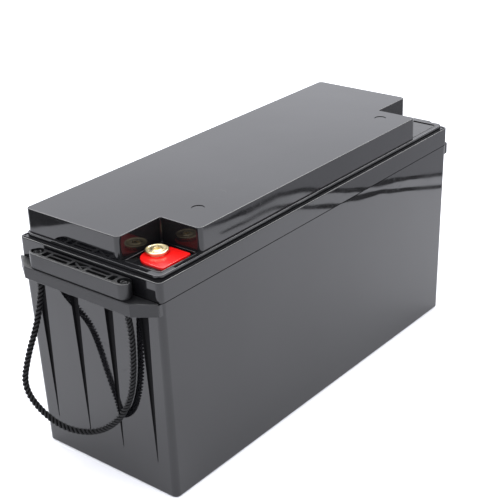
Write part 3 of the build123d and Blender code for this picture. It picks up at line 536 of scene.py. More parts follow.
slot_of = {part["node"]: part["material_slot"] for part in frame["record"]["subparts"]}


def finish_of(node_name):
    """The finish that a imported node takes: its slot's, or its end's brass."""
    slot = slot_of[node_name]
    if node_name.startswith("handle_bar"):
        slot = "bar_plastic"
    if slot == "terminal_brass":
        slot += "_negative" if node_name.endswith("negative") else "_positive"
    return finishes[slot]


for name, packed in nodes.items():
    packed.data.materials.clear()
    packed.data.materials.append(finish_of(name))
print("finishes", len(finishes), "packed nodes", len(nodes))

# %% [markdown]
# The rope loop is one smooth curve through the holes' mouths.  A quadratic NURBS spline
# follows its control points closely and has no flat stretches.  The spline's own points are
# read back from it, and everything on the rope is laid along them.

# %% The rope's route
ROPE_ROUTE = [
    (-234.5, 52.0, 180.9), (-239.5, 51.0, 162.5), (-249.5, 48.5, 143.0),
    (-263.0, 48.5, 119.0), (-271.0, 49.0, 93.0), (-265.5, 36.0, 69.0),
    (-255.0, 15.5, 52.0), (-240.0, -5.5, 49.0), (-233.5, -28.0, 66.0),
    (-230.0, -42.0, 91.5), (-230.2, -48.6, 119.0), (-230.5, -51.2, 150.0),
    (-232.0, -51.5, 170.0), (-234.5, -52.0, 180.9),
]


def spline_points(name, control_points, steps=14):
    """The points of a smooth NURBS spline whose control points are given in metres."""
    curve = bpy.data.curves.new(name, "CURVE")
    curve.dimensions = "3D"
    curve.resolution_u = steps
    spline = curve.splines.new("NURBS")
    spline.points.add(len(control_points) - 1)
    for point, place in zip(spline.points, control_points):
        point.co = (*place, 1.0)
    spline.order_u = 3
    spline.use_endpoint_u = True
    holder = bpy.data.objects.new(name, curve)
    bpy.context.scene.collection.objects.link(holder)
    evaluated = holder.evaluated_get(bpy.context.evaluated_depsgraph_get())
    mesh = bpy.data.meshes.new_from_object(evaluated)
    points = [v.co.copy() for v in mesh.vertices]
    bpy.data.objects.remove(holder)
    bpy.data.curves.remove(curve)
    bpy.data.meshes.remove(mesh)
    return points


def path_length(points):
    return sum((b - a).length for a, b in zip(points, points[1:]))


rope_paths = {
    side: spline_points(f"rope_route_{side}", [
        (mirror * x * MM, y * MM, z * MM) for x, y, z in ROPE_ROUTE
    ])
    for side, mirror in (("left", 1), ("right", -1))
}
print("rope length", round(path_length(rope_paths["left"]), 4))

# %% [markdown]
# Whatever follows a path or repeats is grown by a Geometry Nodes tree: the ropes, their
# knots, the leads and the weld beads.  A tree could be drawn by hand in the editor; written
# out, it can be read and run again.  `grow` runs a tree on a small seed mesh and keeps only
# the plain mesh that comes out.


# %% Geometry Nodes helpers
def new_geometry_tree(name, inputs):
    """An empty Geometry Nodes tree with one geometry in and out and these named inputs."""
    tree = bpy.data.node_groups.new(name, "GeometryNodeTree")
    tree.interface.new_socket("Geometry", in_out="INPUT", socket_type="NodeSocketGeometry")
    for label, (kind, default) in inputs.items():
        tree.interface.new_socket(label, in_out="INPUT", socket_type=kind).default_value = default
    tree.interface.new_socket("Geometry", in_out="OUTPUT", socket_type="NodeSocketGeometry")
    return Graph(tree)


def finish_tree(graph, geometry, material):
    """Realize what the tree made, give it its material and send it out."""
    real = graph.node("GeometryNodeRealizeInstances", None, {0: geometry})
    painted = graph.node("GeometryNodeSetMaterial", None, {
        "Geometry": real.outputs[0], "Material": material,
    })
    graph.node("NodeGroupOutput", None, {0: painted.outputs[0]})


def grow(name, seed_mesh, graph, **settings):
    """Run a tree on a mesh and return the result as a plain mesh object."""
    source = bpy.data.objects.new(name, seed_mesh)
    bpy.context.scene.collection.objects.link(source)
    modifier = source.modifiers.new("grow", "NODES")
    modifier.node_group = graph.tree
    for item in graph.tree.interface.items_tree:
        if item.in_out == "INPUT" and item.name in settings:
            modifier[item.identifier] = settings[item.name]
    bpy.context.view_layer.update()
    evaluated = source.evaluated_get(bpy.context.evaluated_depsgraph_get())
    mesh = bpy.data.meshes.new_from_object(evaluated)
    source.modifiers.remove(modifier)
    source.data = mesh
    return source


def line_mesh(name, points):
    """A mesh of one open chain of edges."""
    mesh = bpy.data.meshes.new(name)
    mesh.from_pydata([tuple(p) for p in points], [(i, i + 1) for i in range(len(points) - 1)], [])
    return mesh


# %% [markdown]
# A laid rope is three strands twisted together.  It could be modelled once and bent along a
# curve, but then the strands would stretch in the bends.  In Geometry Nodes it is short:
# give the path a tilt that grows with its length, and sweep three small circles along it.
# The tree also stores how far along and how far round each point is, for the yarn pattern.


# %% The laid rope
STRAND_SIDES = 12


def rope_tree(material):
    """Three strands twisted round the path, each swept as its own closed tube."""
    graph = new_geometry_tree("laid_rope", {
        "Lay": ("NodeSocketFloat", 11.8 * MM),
        "Strands": ("NodeSocketInt", 3),
        "Strand radius": ("NodeSocketFloat", 1.42 * MM),
        "Strand offset": ("NodeSocketFloat", 1.63 * MM),
        "Step": ("NodeSocketFloat", 0.8 * MM),
    })
    given = graph.node("NodeGroupInput").outputs
    path = graph.node("GeometryNodeMeshToCurve", None, {0: given["Geometry"]}).outputs[0]
    path = graph.node("GeometryNodeResampleCurve", {"mode": "LENGTH"}, {
        "Curve": path, "Length": given["Step"],
    }).outputs[0]
    travelled = graph.value("GeometryNodeSplineParameter", output="Length")
    twist = travelled * (2 * math.pi) / Value(graph, given["Lay"])
    path = graph.node("GeometryNodeSetCurveTilt", None, {"Curve": path, "Tilt": twist}).outputs[0]
    path = graph.node("GeometryNodeStoreNamedAttribute", {"data_type": "FLOAT"}, {
        "Geometry": path, "Name": "along", "Value": travelled,
    }).outputs[0]
    # one strand's section, which remembers its own direction from its middle
    ring = graph.node("GeometryNodeCurvePrimitiveCircle", None, {
        "Resolution": STRAND_SIDES, "Radius": given["Strand radius"],
    }).outputs["Curve"]
    place = graph.node("GeometryNodeInputPosition").outputs[0]
    ring = graph.node("GeometryNodeStoreNamedAttribute", {"data_type": "FLOAT_VECTOR"}, {
        "Geometry": ring, "Name": "around", "Value": place,
    }).outputs[0]
    spots = graph.node("GeometryNodeMeshCircle", None, {
        "Vertices": given["Strands"], "Radius": given["Strand offset"],
    }).outputs[0]
    turn = graph.value("GeometryNodeInputIndex") * (2 * math.pi) / Value(graph, given["Strands"])
    facing = graph.node("ShaderNodeCombineXYZ", None, {"Z": turn}).outputs[0]
    rings = graph.node("GeometryNodeInstanceOnPoints", None, {
        "Points": spots, "Instance": ring, "Rotation": facing,
    }).outputs[0]
    rings = graph.node("GeometryNodeRealizeInstances", None, {0: rings}).outputs[0]
    strands = graph.node("GeometryNodeCurveToMesh", None, {
        "Curve": path, "Profile Curve": rings, "Fill Caps": True,
    }).outputs[0]
    smooth = graph.node("GeometryNodeSetShadeSmooth", None, {"Geometry": strands})
    finish_tree(graph, smooth.outputs[0], material)
    return graph


rope_graph = rope_tree(finishes["rope_fibre"])
ropes = {}
for side, path in rope_paths.items():
    ropes[side] = grow(f"rope_loop_{side}", line_mesh(f"rope_path_{side}", path), rope_graph)
    print(ropes[side].name, "triangles", len(ropes[side].data.polygons) * 2)

# %% [markdown]
# Each rope end comes up through the shelf and the bar and is stopped by an overhand knot
# pulled down into the bar's end pocket.  A knot is only another path for the same tree: a
# trefoil, which is the closed form of an overhand knot, squashed flat to fit its pocket.

# %% The stopper knots
BAR_POCKET_FLOOR = 202.0 * MM
KNOT_RADIUS, KNOT_SQUASH = 1.25 * MM, 0.86
KNOT_MIDDLE_Z, KNOT_RISE = BAR_POCKET_FLOOR + 4.4 * MM, 2.08 * MM
KNOT_CLOSED = 0.96
KNOT_TURNS = (0.7, 2.6)
TIGHT_LAY = {
    "Strand radius": 1.0 * MM, "Strand offset": 1.15 * MM, "Lay": 10.5 * MM, "Step": 0.6 * MM,
}


def knot_points(centre, turn):
    """Up through the hole and round a small flattened trefoil."""
    rise = [
        Vector((centre.x, centre.y, z))
        for z in np.linspace(centre.z, BAR_POCKET_FLOOR, 12)[:-1]
    ]
    knot = []
    for t in np.linspace(0.0, 2 * math.pi * KNOT_CLOSED, 60):
        reach = KNOT_RADIUS * (2 + math.cos(3 * t))
        knot.append(Vector((
            centre.x + reach * math.cos(2 * t + turn) * KNOT_SQUASH,
            centre.y + reach * math.sin(2 * t + turn),
            KNOT_MIDDLE_Z + KNOT_RISE * math.sin(3 * t),
        )))
    return rise + knot


knots = {side: [] for side in rope_paths}
for side, path in rope_paths.items():
    for number, (mouth, turn) in enumerate(zip((path[0], path[-1]), KNOT_TURNS), start=1):
        seed = line_mesh(f"knot_path_{side}_{number}", knot_points(mouth, turn))
        knot = grow(f"rope_knot_{side}_{number}", seed, rope_graph, **TIGHT_LAY)
        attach(knot, "root")
        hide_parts(f"rope_ends_{side}")
        knots[side].append(knot)
        print(knot.name, "faces", len(knot.data.polygons))

# %% [markdown]
# A rope hangs by its two ends: these stay in the shelf while the loop swings.  Each loop's
# mesh is fixed where it was grown, and the imported rope it stands for is hidden.

for side, path in rope_paths.items():
    loop = ropes[side]
    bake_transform(loop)
    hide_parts(f"rope_handle_{side}")
    print(loop.name, "hangs from", tuple(round(v, 4) for v in path[0]))

# %% [markdown]
# The bolts turn out of their inserts as their heads rise, so their threads show.  A thread
# could be a profile swept along a helix, but a skin of stacked rings is lighter and closes
# cleanly.  Each row of the skin says what radius and height it has at any angle.

# %% A skin made of rings
BOLT_SIDES = 72


def revolve_rows(bm, rows, centre):
    """Rings of points joined into a skin; a row is (radius at an angle, height at it)."""
    rings = []
    for radius_at, height_at in rows:
        ring = []
        for k in range(BOLT_SIDES):
            angle = 2 * math.pi * k / BOLT_SIDES
            radius = radius_at(angle)
            ring.append(bm.verts.new((
                centre[0] + radius * math.cos(angle),
                centre[1] + radius * math.sin(angle),
                height_at(angle),
            )))
        rings.append(ring)
    for low, high in zip(rings, rings[1:]):
        for k in range(BOLT_SIDES):
            after = (k + 1) % BOLT_SIDES
            bm.faces.new((low[k], low[after], high[after], high[k]))
    return rings


def flat(value):
    """The same value at every angle."""
    return lambda angle: value


# %% [markdown]
# The shank is the coarse thread of an M8 bolt, 1.25 mm from crest to crest.  Its radius
# depends on height and angle together, which is what turns stacked rings into a screw.  The
# ridge is flattened at root and crest, and runs out at the tip and under the head.

# %% The thread
PITCH = 1.25 * MM
SHANK_TOP_Z, SHANK_LENGTH = 218.3 * MM, 12.0 * MM
THREAD_CREST, THREAD_ROOT, TIP_RADIUS = 3.72 * MM, 3.15 * MM, 2.6 * MM
TIP_CHAMFER, PLAIN_NECK = 0.5 * MM, 0.8 * MM
TIP_FADE, NECK_FADE = 1.2 * MM, 1.6 * MM
ROWS_PER_PITCH = 14
ROOT_SHARE, FLANK_SHARE = 0.12, 0.76


def thread_radius(height, fade):
    """The radius, at any angle, of the thread's ring at this height."""
    def radius_at(angle):
        phase = (height / PITCH - angle / (2 * math.pi)) % 1.0
        ridge = 1.0 - abs(2 * phase - 1.0)
        ridge = min(1.0, max(0.0, (ridge - ROOT_SHARE) / FLANK_SHARE))
        return THREAD_ROOT + (THREAD_CREST - THREAD_ROOT) * ridge * fade
    return radius_at


def thread_rows():
    """The shank, from its tip up to the underside of the head."""
    tip = SHANK_TOP_Z - SHANK_LENGTH
    rows = [(flat(TIP_RADIUS), flat(tip))]
    step = PITCH / ROWS_PER_PITCH
    for height in np.arange(tip + TIP_CHAMFER, SHANK_TOP_Z - PLAIN_NECK, step):
        fade = min(1.0, (height - tip) / TIP_FADE, (SHANK_TOP_Z - height) / NECK_FADE)
        rows.append((thread_radius(height, fade), flat(height)))
    return rows + [(flat(THREAD_ROOT), flat(SHANK_TOP_Z))]


print("thread rows", len(thread_rows()))

# %% [markdown]
# The head is a wide flange with a rounded rim, a shallow dish, and a hexagon socket in a
# boss, all of which a cold-forming press leaves.  They are where the brass catches most of
# its highlights, so they are worth a few more rings.

# %% The flange head
HEAD_RADIUS, HEAD_HEIGHT, HEAD_EDGE = 10.3 * MM, 2.5 * MM, 0.9 * MM
SOCKET_HALF_ACROSS, SOCKET_DEPTH, SOCKET_EDGE = 3.0 * MM, 2.0 * MM, 0.25 * MM
DRILL_RADIUS, DRILL_DROP = 1.2 * MM, 0.1 * MM
DISH = (  # millimetres in from the rim, and down from the top
    (1.7, 0.0), (2.1, 0.25), (2.5, 0.45), (4.0, 0.55),
    (5.2, 0.55), (5.6, 0.45), (5.9, 0.15), (6.3, 0.02),
)


def hexagon(half_across):
    """Distance from a hexagon's middle to its side, at any angle."""
    def radius_at(angle):
        within = (angle + math.pi / 6) % (math.pi / 3) - math.pi / 6
        return half_across / math.cos(within)
    return radius_at


def head_rows():
    """The head, from its underside out round the rim and down into the socket."""
    top = SHANK_TOP_Z + HEAD_HEIGHT
    rows = [(flat(HEAD_RADIUS - HEAD_EDGE), flat(SHANK_TOP_Z))]
    for lean in np.linspace(-90, 90, 13)[1:]:
        level = SHANK_TOP_Z + HEAD_EDGE if lean < 0 else top - HEAD_EDGE
        rows.append((
            flat(HEAD_RADIUS - HEAD_EDGE + HEAD_EDGE * math.cos(math.radians(lean))),
            flat(level + HEAD_EDGE * math.sin(math.radians(lean))),
        ))
    for inset, drop in DISH:
        rows.append((flat(HEAD_RADIUS - inset * MM), flat(top - drop * MM)))
    socket = hexagon(SOCKET_HALF_ACROSS)
    rows.append((lambda angle: socket(angle) + SOCKET_EDGE, flat(top)))
    rows.append((socket, flat(top - SOCKET_EDGE)))
    rows.append((socket, flat(top - SOCKET_DEPTH)))
    rows.append((flat(DRILL_RADIUS), flat(top - SOCKET_DEPTH - DRILL_DROP)))
    return rows


print("head rows", len(head_rows()))

# %% [markdown]
# The skin is closed at both ends and shaded smooth, except over edges sharper than 40
# degrees: the thread's crests and the socket's corners stay crisp.  Each bolt takes the place
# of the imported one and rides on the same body, so it turns and rises with it.

# %% Terminal bolts
CRISP_ANGLE = 40


def mesh_from(bm, name):
    """Turn finished working geometry into a named mesh."""
    mesh = bpy.data.meshes.new(name)
    bm.to_mesh(mesh)
    bm.free()
    return mesh


def bolt_mesh(name, centre):
    """Thread and head as one closed mesh, from the tip up."""
    bm = bmesh.new()
    rings = revolve_rows(bm, thread_rows() + head_rows(), centre)
    bm.faces.new(list(reversed(rings[0])))
    bm.faces.new(rings[-1])
    bmesh.ops.recalc_face_normals(bm, faces=bm.faces)
    bm.normal_update()
    limit = math.radians(CRISP_ANGLE)
    for edge in bm.edges:
        edge.smooth = len(edge.link_faces) == 2 and edge.calc_face_angle(0.0) < limit
    for face in bm.faces:
        face.smooth = True
    return mesh_from(bm, name)


def place_piece(name, mesh, material):
    """Put a finished mesh in the scene as a piece at the origin."""
    piece = bpy.data.objects.new(name, mesh)
    bpy.context.scene.collection.objects.link(piece)
    mesh.materials.append(material)
    return piece


for end, polarity in ((-1, "positive"), (1, "negative")):
    name = f"flange_bolt_{polarity}"
    bolt = place_piece(
        name, bolt_mesh(name, (end * TERMINAL_X, TERMINAL_Y)),
        finishes[f"terminal_brass_{polarity}"])
    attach(bolt, f"{polarity}_bolt")
    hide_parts(f"terminal_bolt_{polarity}")
    print(name, "faces", len(bolt.data.polygons))

# %% [markdown]
# Inside, the two heavy leads join the cells in the case to the terminals in the lid, and a
# short one joins the management unit to the last busbar.  They are cut long enough to be
# fitted while the lid is lifted, so each makes a loose bend once it is closed.  Their routes
# are given in millimetres, from lug to lug.

# %% Where the leads run
STACK_START, CELL_PITCH, CELL_HALF = -213.3, 37.0, 18.0
POSITIVE_LUG_X = STACK_START + CELL_HALF + CELL_PITCH / 2
NEGATIVE_LUG_X = POSITIVE_LUG_X + 6 * CELL_PITCH
LUG_BARREL, LUG_ROW = 15.1, 33.0
TERMINAL_BARREL_X, TERMINAL_ROW = 170.9, -46.0
LEAD_Z, TERMINAL_LEAD_Z = 205.7, 207.8
UNIT_BOARD_X, UNIT_TOP = 98.0, 165.0
UNIT_FACE_X = UNIT_BOARD_X + 16.0

LEADS = {
    "positive_lead": ("positive_lead_jacket", [
        (POSITIVE_LUG_X + LUG_BARREL, LUG_ROW, LEAD_Z), (POSITIVE_LUG_X + 48, LUG_ROW, LEAD_Z),
        (POSITIVE_LUG_X + 84, 20.0, LEAD_Z + 1.2), (POSITIVE_LUG_X + 90, -14.0, LEAD_Z + 2.0),
        (POSITIVE_LUG_X + 66, -40.0, LEAD_Z + 2.6),
        (POSITIVE_LUG_X + 30, TERMINAL_ROW, TERMINAL_LEAD_Z),
        (-TERMINAL_BARREL_X, TERMINAL_ROW, TERMINAL_LEAD_Z),
    ]),
    "negative_lead": ("negative_lead_jacket", [
        (UNIT_FACE_X, -30.0, 105.0), (UNIT_FACE_X + 18, -30.0, 105.0),
        (UNIT_FACE_X + 34, -33.0, 126.0), (UNIT_FACE_X + 32, -38.0, 156.0),
        (UNIT_FACE_X + 26, -43.0, 186.0), (UNIT_FACE_X + 39, TERMINAL_ROW, TERMINAL_LEAD_Z),
        (TERMINAL_BARREL_X, TERMINAL_ROW, TERMINAL_LEAD_Z),
    ]),
    "unit_lead": ("negative_lead_jacket", [
        (NEGATIVE_LUG_X + LUG_BARREL, LUG_ROW, LEAD_Z), (NEGATIVE_LUG_X + 40, LUG_ROW, LEAD_Z),
        (UNIT_BOARD_X + 4, 32.0, LEAD_Z - 4), (UNIT_BOARD_X + 9, 30.0, UNIT_TOP + 16),
        (UNIT_BOARD_X + 9, 30.0, UNIT_TOP),
    ]),
}
for name, (slot, route) in LEADS.items():
    print(name, "has", len(route), "control points")

# %% [markdown]
# A lead is a round tube swept along its route.  The two that end at the terminals are fixed
# where they were grown.  The unit's own lead, like the thin sense wires, stays in the case.


# %% Leads
LEAD_DIAMETER, LEAD_STEP, LEAD_SIDES = 8.0 * MM, 2.0 * MM, 20
LEAD_BLENDS = {
    "positive_lead": ((0, 30 * MM, 0), (0, -43 * MM, 0)),
    "negative_lead": ((0, 0, 110 * MM), (0, 0, 203 * MM)),
}


def tube_tree(material):
    """A round tube along the path."""
    graph = new_geometry_tree("lead_tube", {"Radius": ("NodeSocketFloat", 4.0 * MM)})
    given = graph.node("NodeGroupInput").outputs
    path = graph.node("GeometryNodeMeshToCurve", None, {0: given["Geometry"]}).outputs[0]
    path = graph.node("GeometryNodeResampleCurve", {"mode": "LENGTH"}, {
        "Curve": path, "Length": LEAD_STEP,
    }).outputs[0]
    ring = graph.node("GeometryNodeCurvePrimitiveCircle", None, {
        "Resolution": LEAD_SIDES, "Radius": given["Radius"],
    }).outputs["Curve"]
    tube = graph.node("GeometryNodeCurveToMesh", None, {
        "Curve": path, "Profile Curve": ring, "Fill Caps": True,
    }).outputs[0]
    smooth = graph.node("GeometryNodeSetShadeSmooth", None, {"Geometry": tube})
    finish_tree(graph, smooth.outputs[0], material)
    return graph


for name, (slot, route) in LEADS.items():
    points = spline_points(name + "_route", [tuple(v * MM for v in p) for p in route])
    lead = grow(name + "_tube", line_mesh(name + "_path", points), tube_tree(finishes[slot]),
                Radius=LEAD_DIAMETER / 2)
    if name in LEAD_BLENDS:
        start, end = LEAD_BLENDS[name]
        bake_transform(lead)
    else:
        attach(lead, "root")
    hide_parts(name)
    print(name, "length", round(path_length(points), 3))

# %% [markdown]
# Foam is soft, so its blocks are not left as sharp boxes: each is cut from sheet, with
# softened edges and faces that swell a little where nothing presses on them.  A node may hold
# several sheets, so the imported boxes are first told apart, by walking from corner to corner.

# %% The sheets' boxes
WELD_DISTANCE = 1e-6


def loose_boxes(node_name):
    """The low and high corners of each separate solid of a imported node."""
    bm = bmesh.new()
    bm.from_mesh(nodes[node_name].data)
    bmesh.ops.remove_doubles(bm, verts=bm.verts, dist=WELD_DISTANCE)
    waiting, boxes = set(bm.verts), []
    while waiting:
        island, to_visit = set(), [waiting.pop()]
        while to_visit:
            vert = to_visit.pop()
            island.add(vert)
            for edge in vert.link_edges:
                other = edge.other_vert(vert)
                if other in waiting:
                    waiting.discard(other)
                    to_visit.append(other)
        corners = np.array([v.co for v in island])
        boxes.append((Vector(corners.min(0)), Vector(corners.max(0))))
    bm.free()
    return boxes


foam_boxes = {
    name: loose_boxes(name)
    for name in ("base_pad", "side_foam_pads", "end_foam", "bay_foam_block")
}
for name, boxes in foam_boxes.items():
    print(name, "sheets", len(boxes))

# %% [markdown]
# Each sheet starts as a cube stretched to its box and cut into short lengths.  Every point is
# then drawn back to a rounded edge and moved in or out by a smooth noise.  The points only
# ever move inward, so the foam never leaves the room that it was given.


# %% Foam
CUT_LENGTH, FEWEST_CUTS, MOST_CUTS = 12.0 * MM, 2, 26
EDGE_SHARE = 0.3
SWELL_MIDDLE, SWELL_RANGE, SWELL_SCALE = 0.93, 0.07, 45.0


def cut_across(bm, first, low, size, axis, count):
    """Cut the block whose points begin at this index into equal lengths along one axis."""
    for k in range(1, count):
        point = low.copy()
        point[axis] += size[axis] * k / count
        normal = Vector([float(i == axis) for i in range(3)])
        bm.verts.ensure_lookup_table()
        part = bm.verts[first:]
        edges = {e for v in part for e in v.link_edges}
        faces = {f for v in part for f in v.link_faces}
        bmesh.ops.bisect_plane(
            bm, geom=[*part, *edges, *faces], plane_co=point, plane_no=normal)


def foam_block(bm, low, high):
    """A rounded, slightly uneven block that stays inside the given box."""
    size = high - low
    edge = min(size) * EDGE_SHARE
    first = len(bm.verts)
    made = bmesh.ops.create_cube(bm, size=1.0)["verts"]
    bmesh.ops.scale(bm, vec=size, verts=made)
    bmesh.ops.translate(bm, vec=(low + high) / 2, verts=made)
    for axis in range(3):
        count = max(FEWEST_CUTS, min(MOST_CUTS, int(size[axis] / CUT_LENGTH)))
        cut_across(bm, first, low, size, axis, count)
    bm.verts.ensure_lookup_table()
    inner_low = low + Vector((edge, edge, edge))
    inner_high = high - Vector((edge, edge, edge))
    for vert in bm.verts[first:]:
        core = Vector([min(max(vert.co[i], inner_low[i]), inner_high[i]) for i in range(3)])
        out = vert.co - core
        if out.length > 0:
            out = out.normalized() * edge
        swell = SWELL_MIDDLE + SWELL_RANGE * noise.noise(vert.co * SWELL_SCALE)
        vert.co = core + out * swell


for name, boxes in foam_boxes.items():
    bm = bmesh.new()
    for low, high in boxes:
        foam_block(bm, low, high)
    bmesh.ops.recalc_face_normals(bm, faces=bm.faces)
    mesh = mesh_from(bm, name + "_sheet")
    mesh.shade_smooth()
    sheet = place_piece(name + "_sheet", mesh, finishes["foam"])
    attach(sheet, "root")
    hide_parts(name)
    print(sheet.name, "faces", len(mesh.polygons))

# %% [markdown]
# Each busbar is laser-welded to the poles under it.  The beads repeat round every pole, so
# they are one small overlapping ring, instanced on the poles' middles by Geometry Nodes.  A
# seeded random size keeps any two beads from being quite alike.

# %% Weld beads
CELLS = 8
POLE_Y, BUSBAR_TOP = 33.0 * MM, 200.5 * MM
SMALLEST_BEAD, LARGEST_BEAD, BEAD_FLATNESS = 0.75, 1.2, 0.3
pole_spots = [
    ((STACK_START + CELL_HALF + n * CELL_PITCH) * MM, row * POLE_Y, BUSBAR_TOP)
    for n in range(CELLS) for row in (-1, 1)
]


def weld_tree(material):
    """A ring of small flattened beads on every point, each a little different."""
    graph = new_geometry_tree("weld_beads", {
        "Ring radius": ("NodeSocketFloat", 5.0 * MM),
        "Bead radius": ("NodeSocketFloat", 0.7 * MM),
        "Beads": ("NodeSocketInt", 26),
        "Seed": ("NodeSocketInt", 7),
    })
    given = graph.node("NodeGroupInput").outputs
    ring = graph.node("GeometryNodeMeshCircle", None, {
        "Vertices": given["Beads"], "Radius": given["Ring radius"],
    }).outputs[0]
    bead = graph.node("GeometryNodeMeshIcoSphere", None, {
        "Radius": given["Bead radius"], "Subdivisions": 1,
    }).outputs[0]
    size = graph.value("FunctionNodeRandomValue", {"data_type": "FLOAT"}, {
        "Min": SMALLEST_BEAD, "Max": LARGEST_BEAD, "Seed": given["Seed"],
    }, output=1)
    flat_size = graph.node(
        "ShaderNodeCombineXYZ", None, {"X": size, "Y": size, "Z": BEAD_FLATNESS})
    beads = graph.node("GeometryNodeInstanceOnPoints", None, {
        "Points": ring, "Instance": bead, "Scale": flat_size.outputs[0],
    }).outputs[0]
    spots = graph.node("GeometryNodeInstanceOnPoints", None, {
        "Points": given["Geometry"], "Instance": beads,
    }).outputs[0]
    finish_tree(graph, spots, material)
    return graph


spots_mesh = bpy.data.meshes.new("pole_spots")
spots_mesh.from_pydata(pole_spots, [], [])
welds = grow("weld_beads", spots_mesh, weld_tree(finishes["cell_aluminium"]))
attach(welds, "root")
print("weld bead faces", len(welds.data.polygons))

# %% [markdown]
# A black mirror-like object shows its surroundings more than itself.  It stands on a wide
# white sheet in a bright, even room.  The upright faces mirror the sheet, which is why they
# look grey rather than black.


# %% The sheet it stands on
FLOOR_SIZE = 9.0


def paper(name, dark, light):
    """Plain paper or board, very slightly uneven."""
    board = Finish(name, Roughness=0.9)
    board.vary("Base Color", board.colours(board.noise(3.0, 2.0), dark, light))
    return board.material


bm = bmesh.new()
bmesh.ops.create_grid(bm, x_segments=1, y_segments=1, size=FLOOR_SIZE)
floor = place_piece(
    "floor", mesh_from(bm, "floor"), paper("sheet", (0.88, 0.88, 0.89), (0.91, 0.91, 0.91)))
print("floor", 2 * FLOOR_SIZE, "m across")

# %% [markdown]
# High up, the long side mirrors the sheet's own edge, seen as two thin wavy lines with the
# duller floor beyond, and the end face mirrors a dark card, painted shade on the floor off
# that end.  These are flat cards that lie just over the floor.  Only reflections can see them,
# so they darken nothing else.

# %% What lies beyond the sheet
CARD_HEIGHT, LINE_WIDTH, LINE_END = 0.8 * MM, 16.0 * MM, 0.3
SHEET_EDGE = [
    (0.19, -0.45), (0.24, -0.435), (0.30, -0.42), (0.38, -0.41), (0.42, -0.385),
    (0.48, -0.325), (0.52, -0.315), (0.565, -0.275), (0.69, -0.205), (0.94, -0.09),
]
SHEET_FOLD = [
    (0.23, -0.405), (0.29, -0.40), (0.34, -0.39), (0.385, -0.345), (0.42, -0.325),
    (0.465, -0.31), (0.525, -0.25), (0.63, -0.19), (0.89, -0.07),
]
FLOOR_BEYOND = SHEET_EDGE + [(4.0, 0.9), (4.0, -4.0), (0.2, -4.0)]
# painted shade: a dark card on the floor off the end, which only reflections see
PAINTED_FLOOR_SHADE = [
    (-0.50, 0.545), (-0.55, 0.48), (-0.575, 0.45), (-0.60, 0.42), (-0.72, 0.30),
    (-3.0, 0.30), (-3.0, 3.0), (-0.50, 3.0),
]


def only_reflected(name, corners, material):
    """A flat card that only reflections can see."""
    mesh = bpy.data.meshes.new(name)
    mesh.from_pydata(corners, [], [range(len(corners))])
    card = place_piece(name, mesh, material)
    card.visible_camera = card.visible_diffuse = card.visible_shadow = False
    print(name, "corners", len(corners))


def floor_card(name, outline, material, height=CARD_HEIGHT):
    """A flat card lying on the floor."""
    only_reflected(name, [(x, y, height) for x, y in outline], material)


def thin_line(points):
    """A thin strip's outline, beside a smoothed line of points, narrowing to its ends."""
    line = [Vector((x, y, 0.0)) for x, y, z in spline_points("edge", [(*p, 0.0) for p in points])]
    side = [
        (b - a).cross(Vector((0, 0, 1))).normalized() * LINE_WIDTH
        for a, b in zip(line, line[1:] + [2 * line[-1] - line[-2]])
    ]
    taper = [
        LINE_END + (1 - LINE_END) * math.sin(math.pi * n / len(line)) for n in range(len(line))
    ]
    shifted = [p + s * t for p, s, t in zip(line, side, taper)]
    return [(p.x, p.y) for p in line] + [(p.x, p.y) for p in reversed(shifted)]


dull_floor = paper("dull_floor", (0.40, 0.40, 0.41), (0.46, 0.46, 0.47))
shadow = paper("shadow_line", (0.02, 0.02, 0.02), (0.05, 0.05, 0.05))
floor_card("floor_beyond", FLOOR_BEYOND, dull_floor)
floor_card("sheet_edge", thin_line(SHEET_EDGE), shadow, 2 * CARD_HEIGHT)
floor_card("sheet_fold", thin_line(SHEET_FOLD), shadow, 2 * CARD_HEIGHT)
# the painted floor shade that the end face mirrors
floor_card("doorway", PAINTED_FLOOR_SHADE, shadow)

# %% [markdown]
# Rounded edges catch what flat faces miss.  A long bright panel hangs high behind the pack,
# where only the small radii along the lid, the shelf and the cover can mirror it, and it
# draws them as thin light lines.

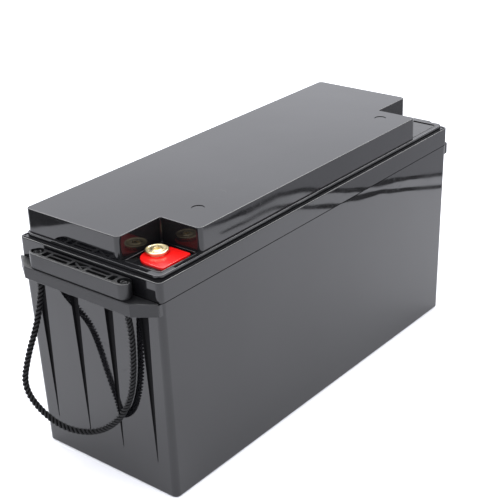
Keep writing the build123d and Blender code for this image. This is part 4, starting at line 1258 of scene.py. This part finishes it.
# %% The panel that edges mirror
PANEL_STRENGTH = 10.0
PANEL_DISTANCE, PANEL_HALF_WIDTH = 4.0, 3.4
PANEL_LOW, PANEL_HIGH = math.radians(42.0), math.radians(66.0)
UP = Vector((0, 0, 1))


def panel_corners():
    """A panel facing the pack, between two elevations, behind it from the camera."""
    away = -Vector((camera.location.x, camera.location.y, 0.0)).normalized()
    across = away.cross(UP)
    return [
        tuple(away * PANEL_DISTANCE * math.cos(elevation)
              + UP * PANEL_DISTANCE * math.sin(elevation)
              + across * side * PANEL_HALF_WIDTH)
        for elevation, side in (
            (PANEL_LOW, -1), (PANEL_LOW, 1), (PANEL_HIGH, 1), (PANEL_HIGH, -1))
    ]


glow = Finish(
    "panel_glow", Emission_Strength=PANEL_STRENGTH, Emission_Color=(1.0, 1.0, 1.0, 1.0),
    Base_Color=(0.0, 0.0, 0.0, 1.0))
only_reflected("panel", panel_corners(), glow.material)

# %% [markdown]
# The room's light comes evenly from all round, a little stronger from above, as it does from
# white walls and a lit ceiling.  It is the world's own background, so nothing casts a hard
# shadow: only a soft dark line is left where the case meets the sheet.


# %% Light
ROOM_COLOUR = (0.93, 0.94, 1.0, 1.0)
HORIZON_LIGHT, OVERHEAD_LIGHT = 1.6, 1.24
OVERHEAD_FROM, OVERHEAD_SOFTNESS = 0.65, 0.3


def light_room():
    """A bright world whose strength grows with height above the horizon."""
    world = bpy.data.worlds.new("room")
    bpy.context.scene.world = world
    world.use_nodes = True
    world.node_tree.nodes.clear()
    graph = Graph(world.node_tree)
    _, _, height = graph.axes(graph.node("ShaderNodeTexCoord").outputs["Generated"])
    overhead = height.above(OVERHEAD_FROM, OVERHEAD_SOFTNESS)
    background = graph.node("ShaderNodeBackground", None, {
        "Color": ROOM_COLOUR, "Strength": overhead * OVERHEAD_LIGHT + HORIZON_LIGHT,
    })
    graph.node("ShaderNodeOutputWorld", None, {0: background.outputs[0]})
    bpy.context.scene.view_settings.view_transform = "Standard"


light_room()
print("room light", HORIZON_LIGHT, "at the horizon,", HORIZON_LIGHT + OVERHEAD_LIGHT, "above")
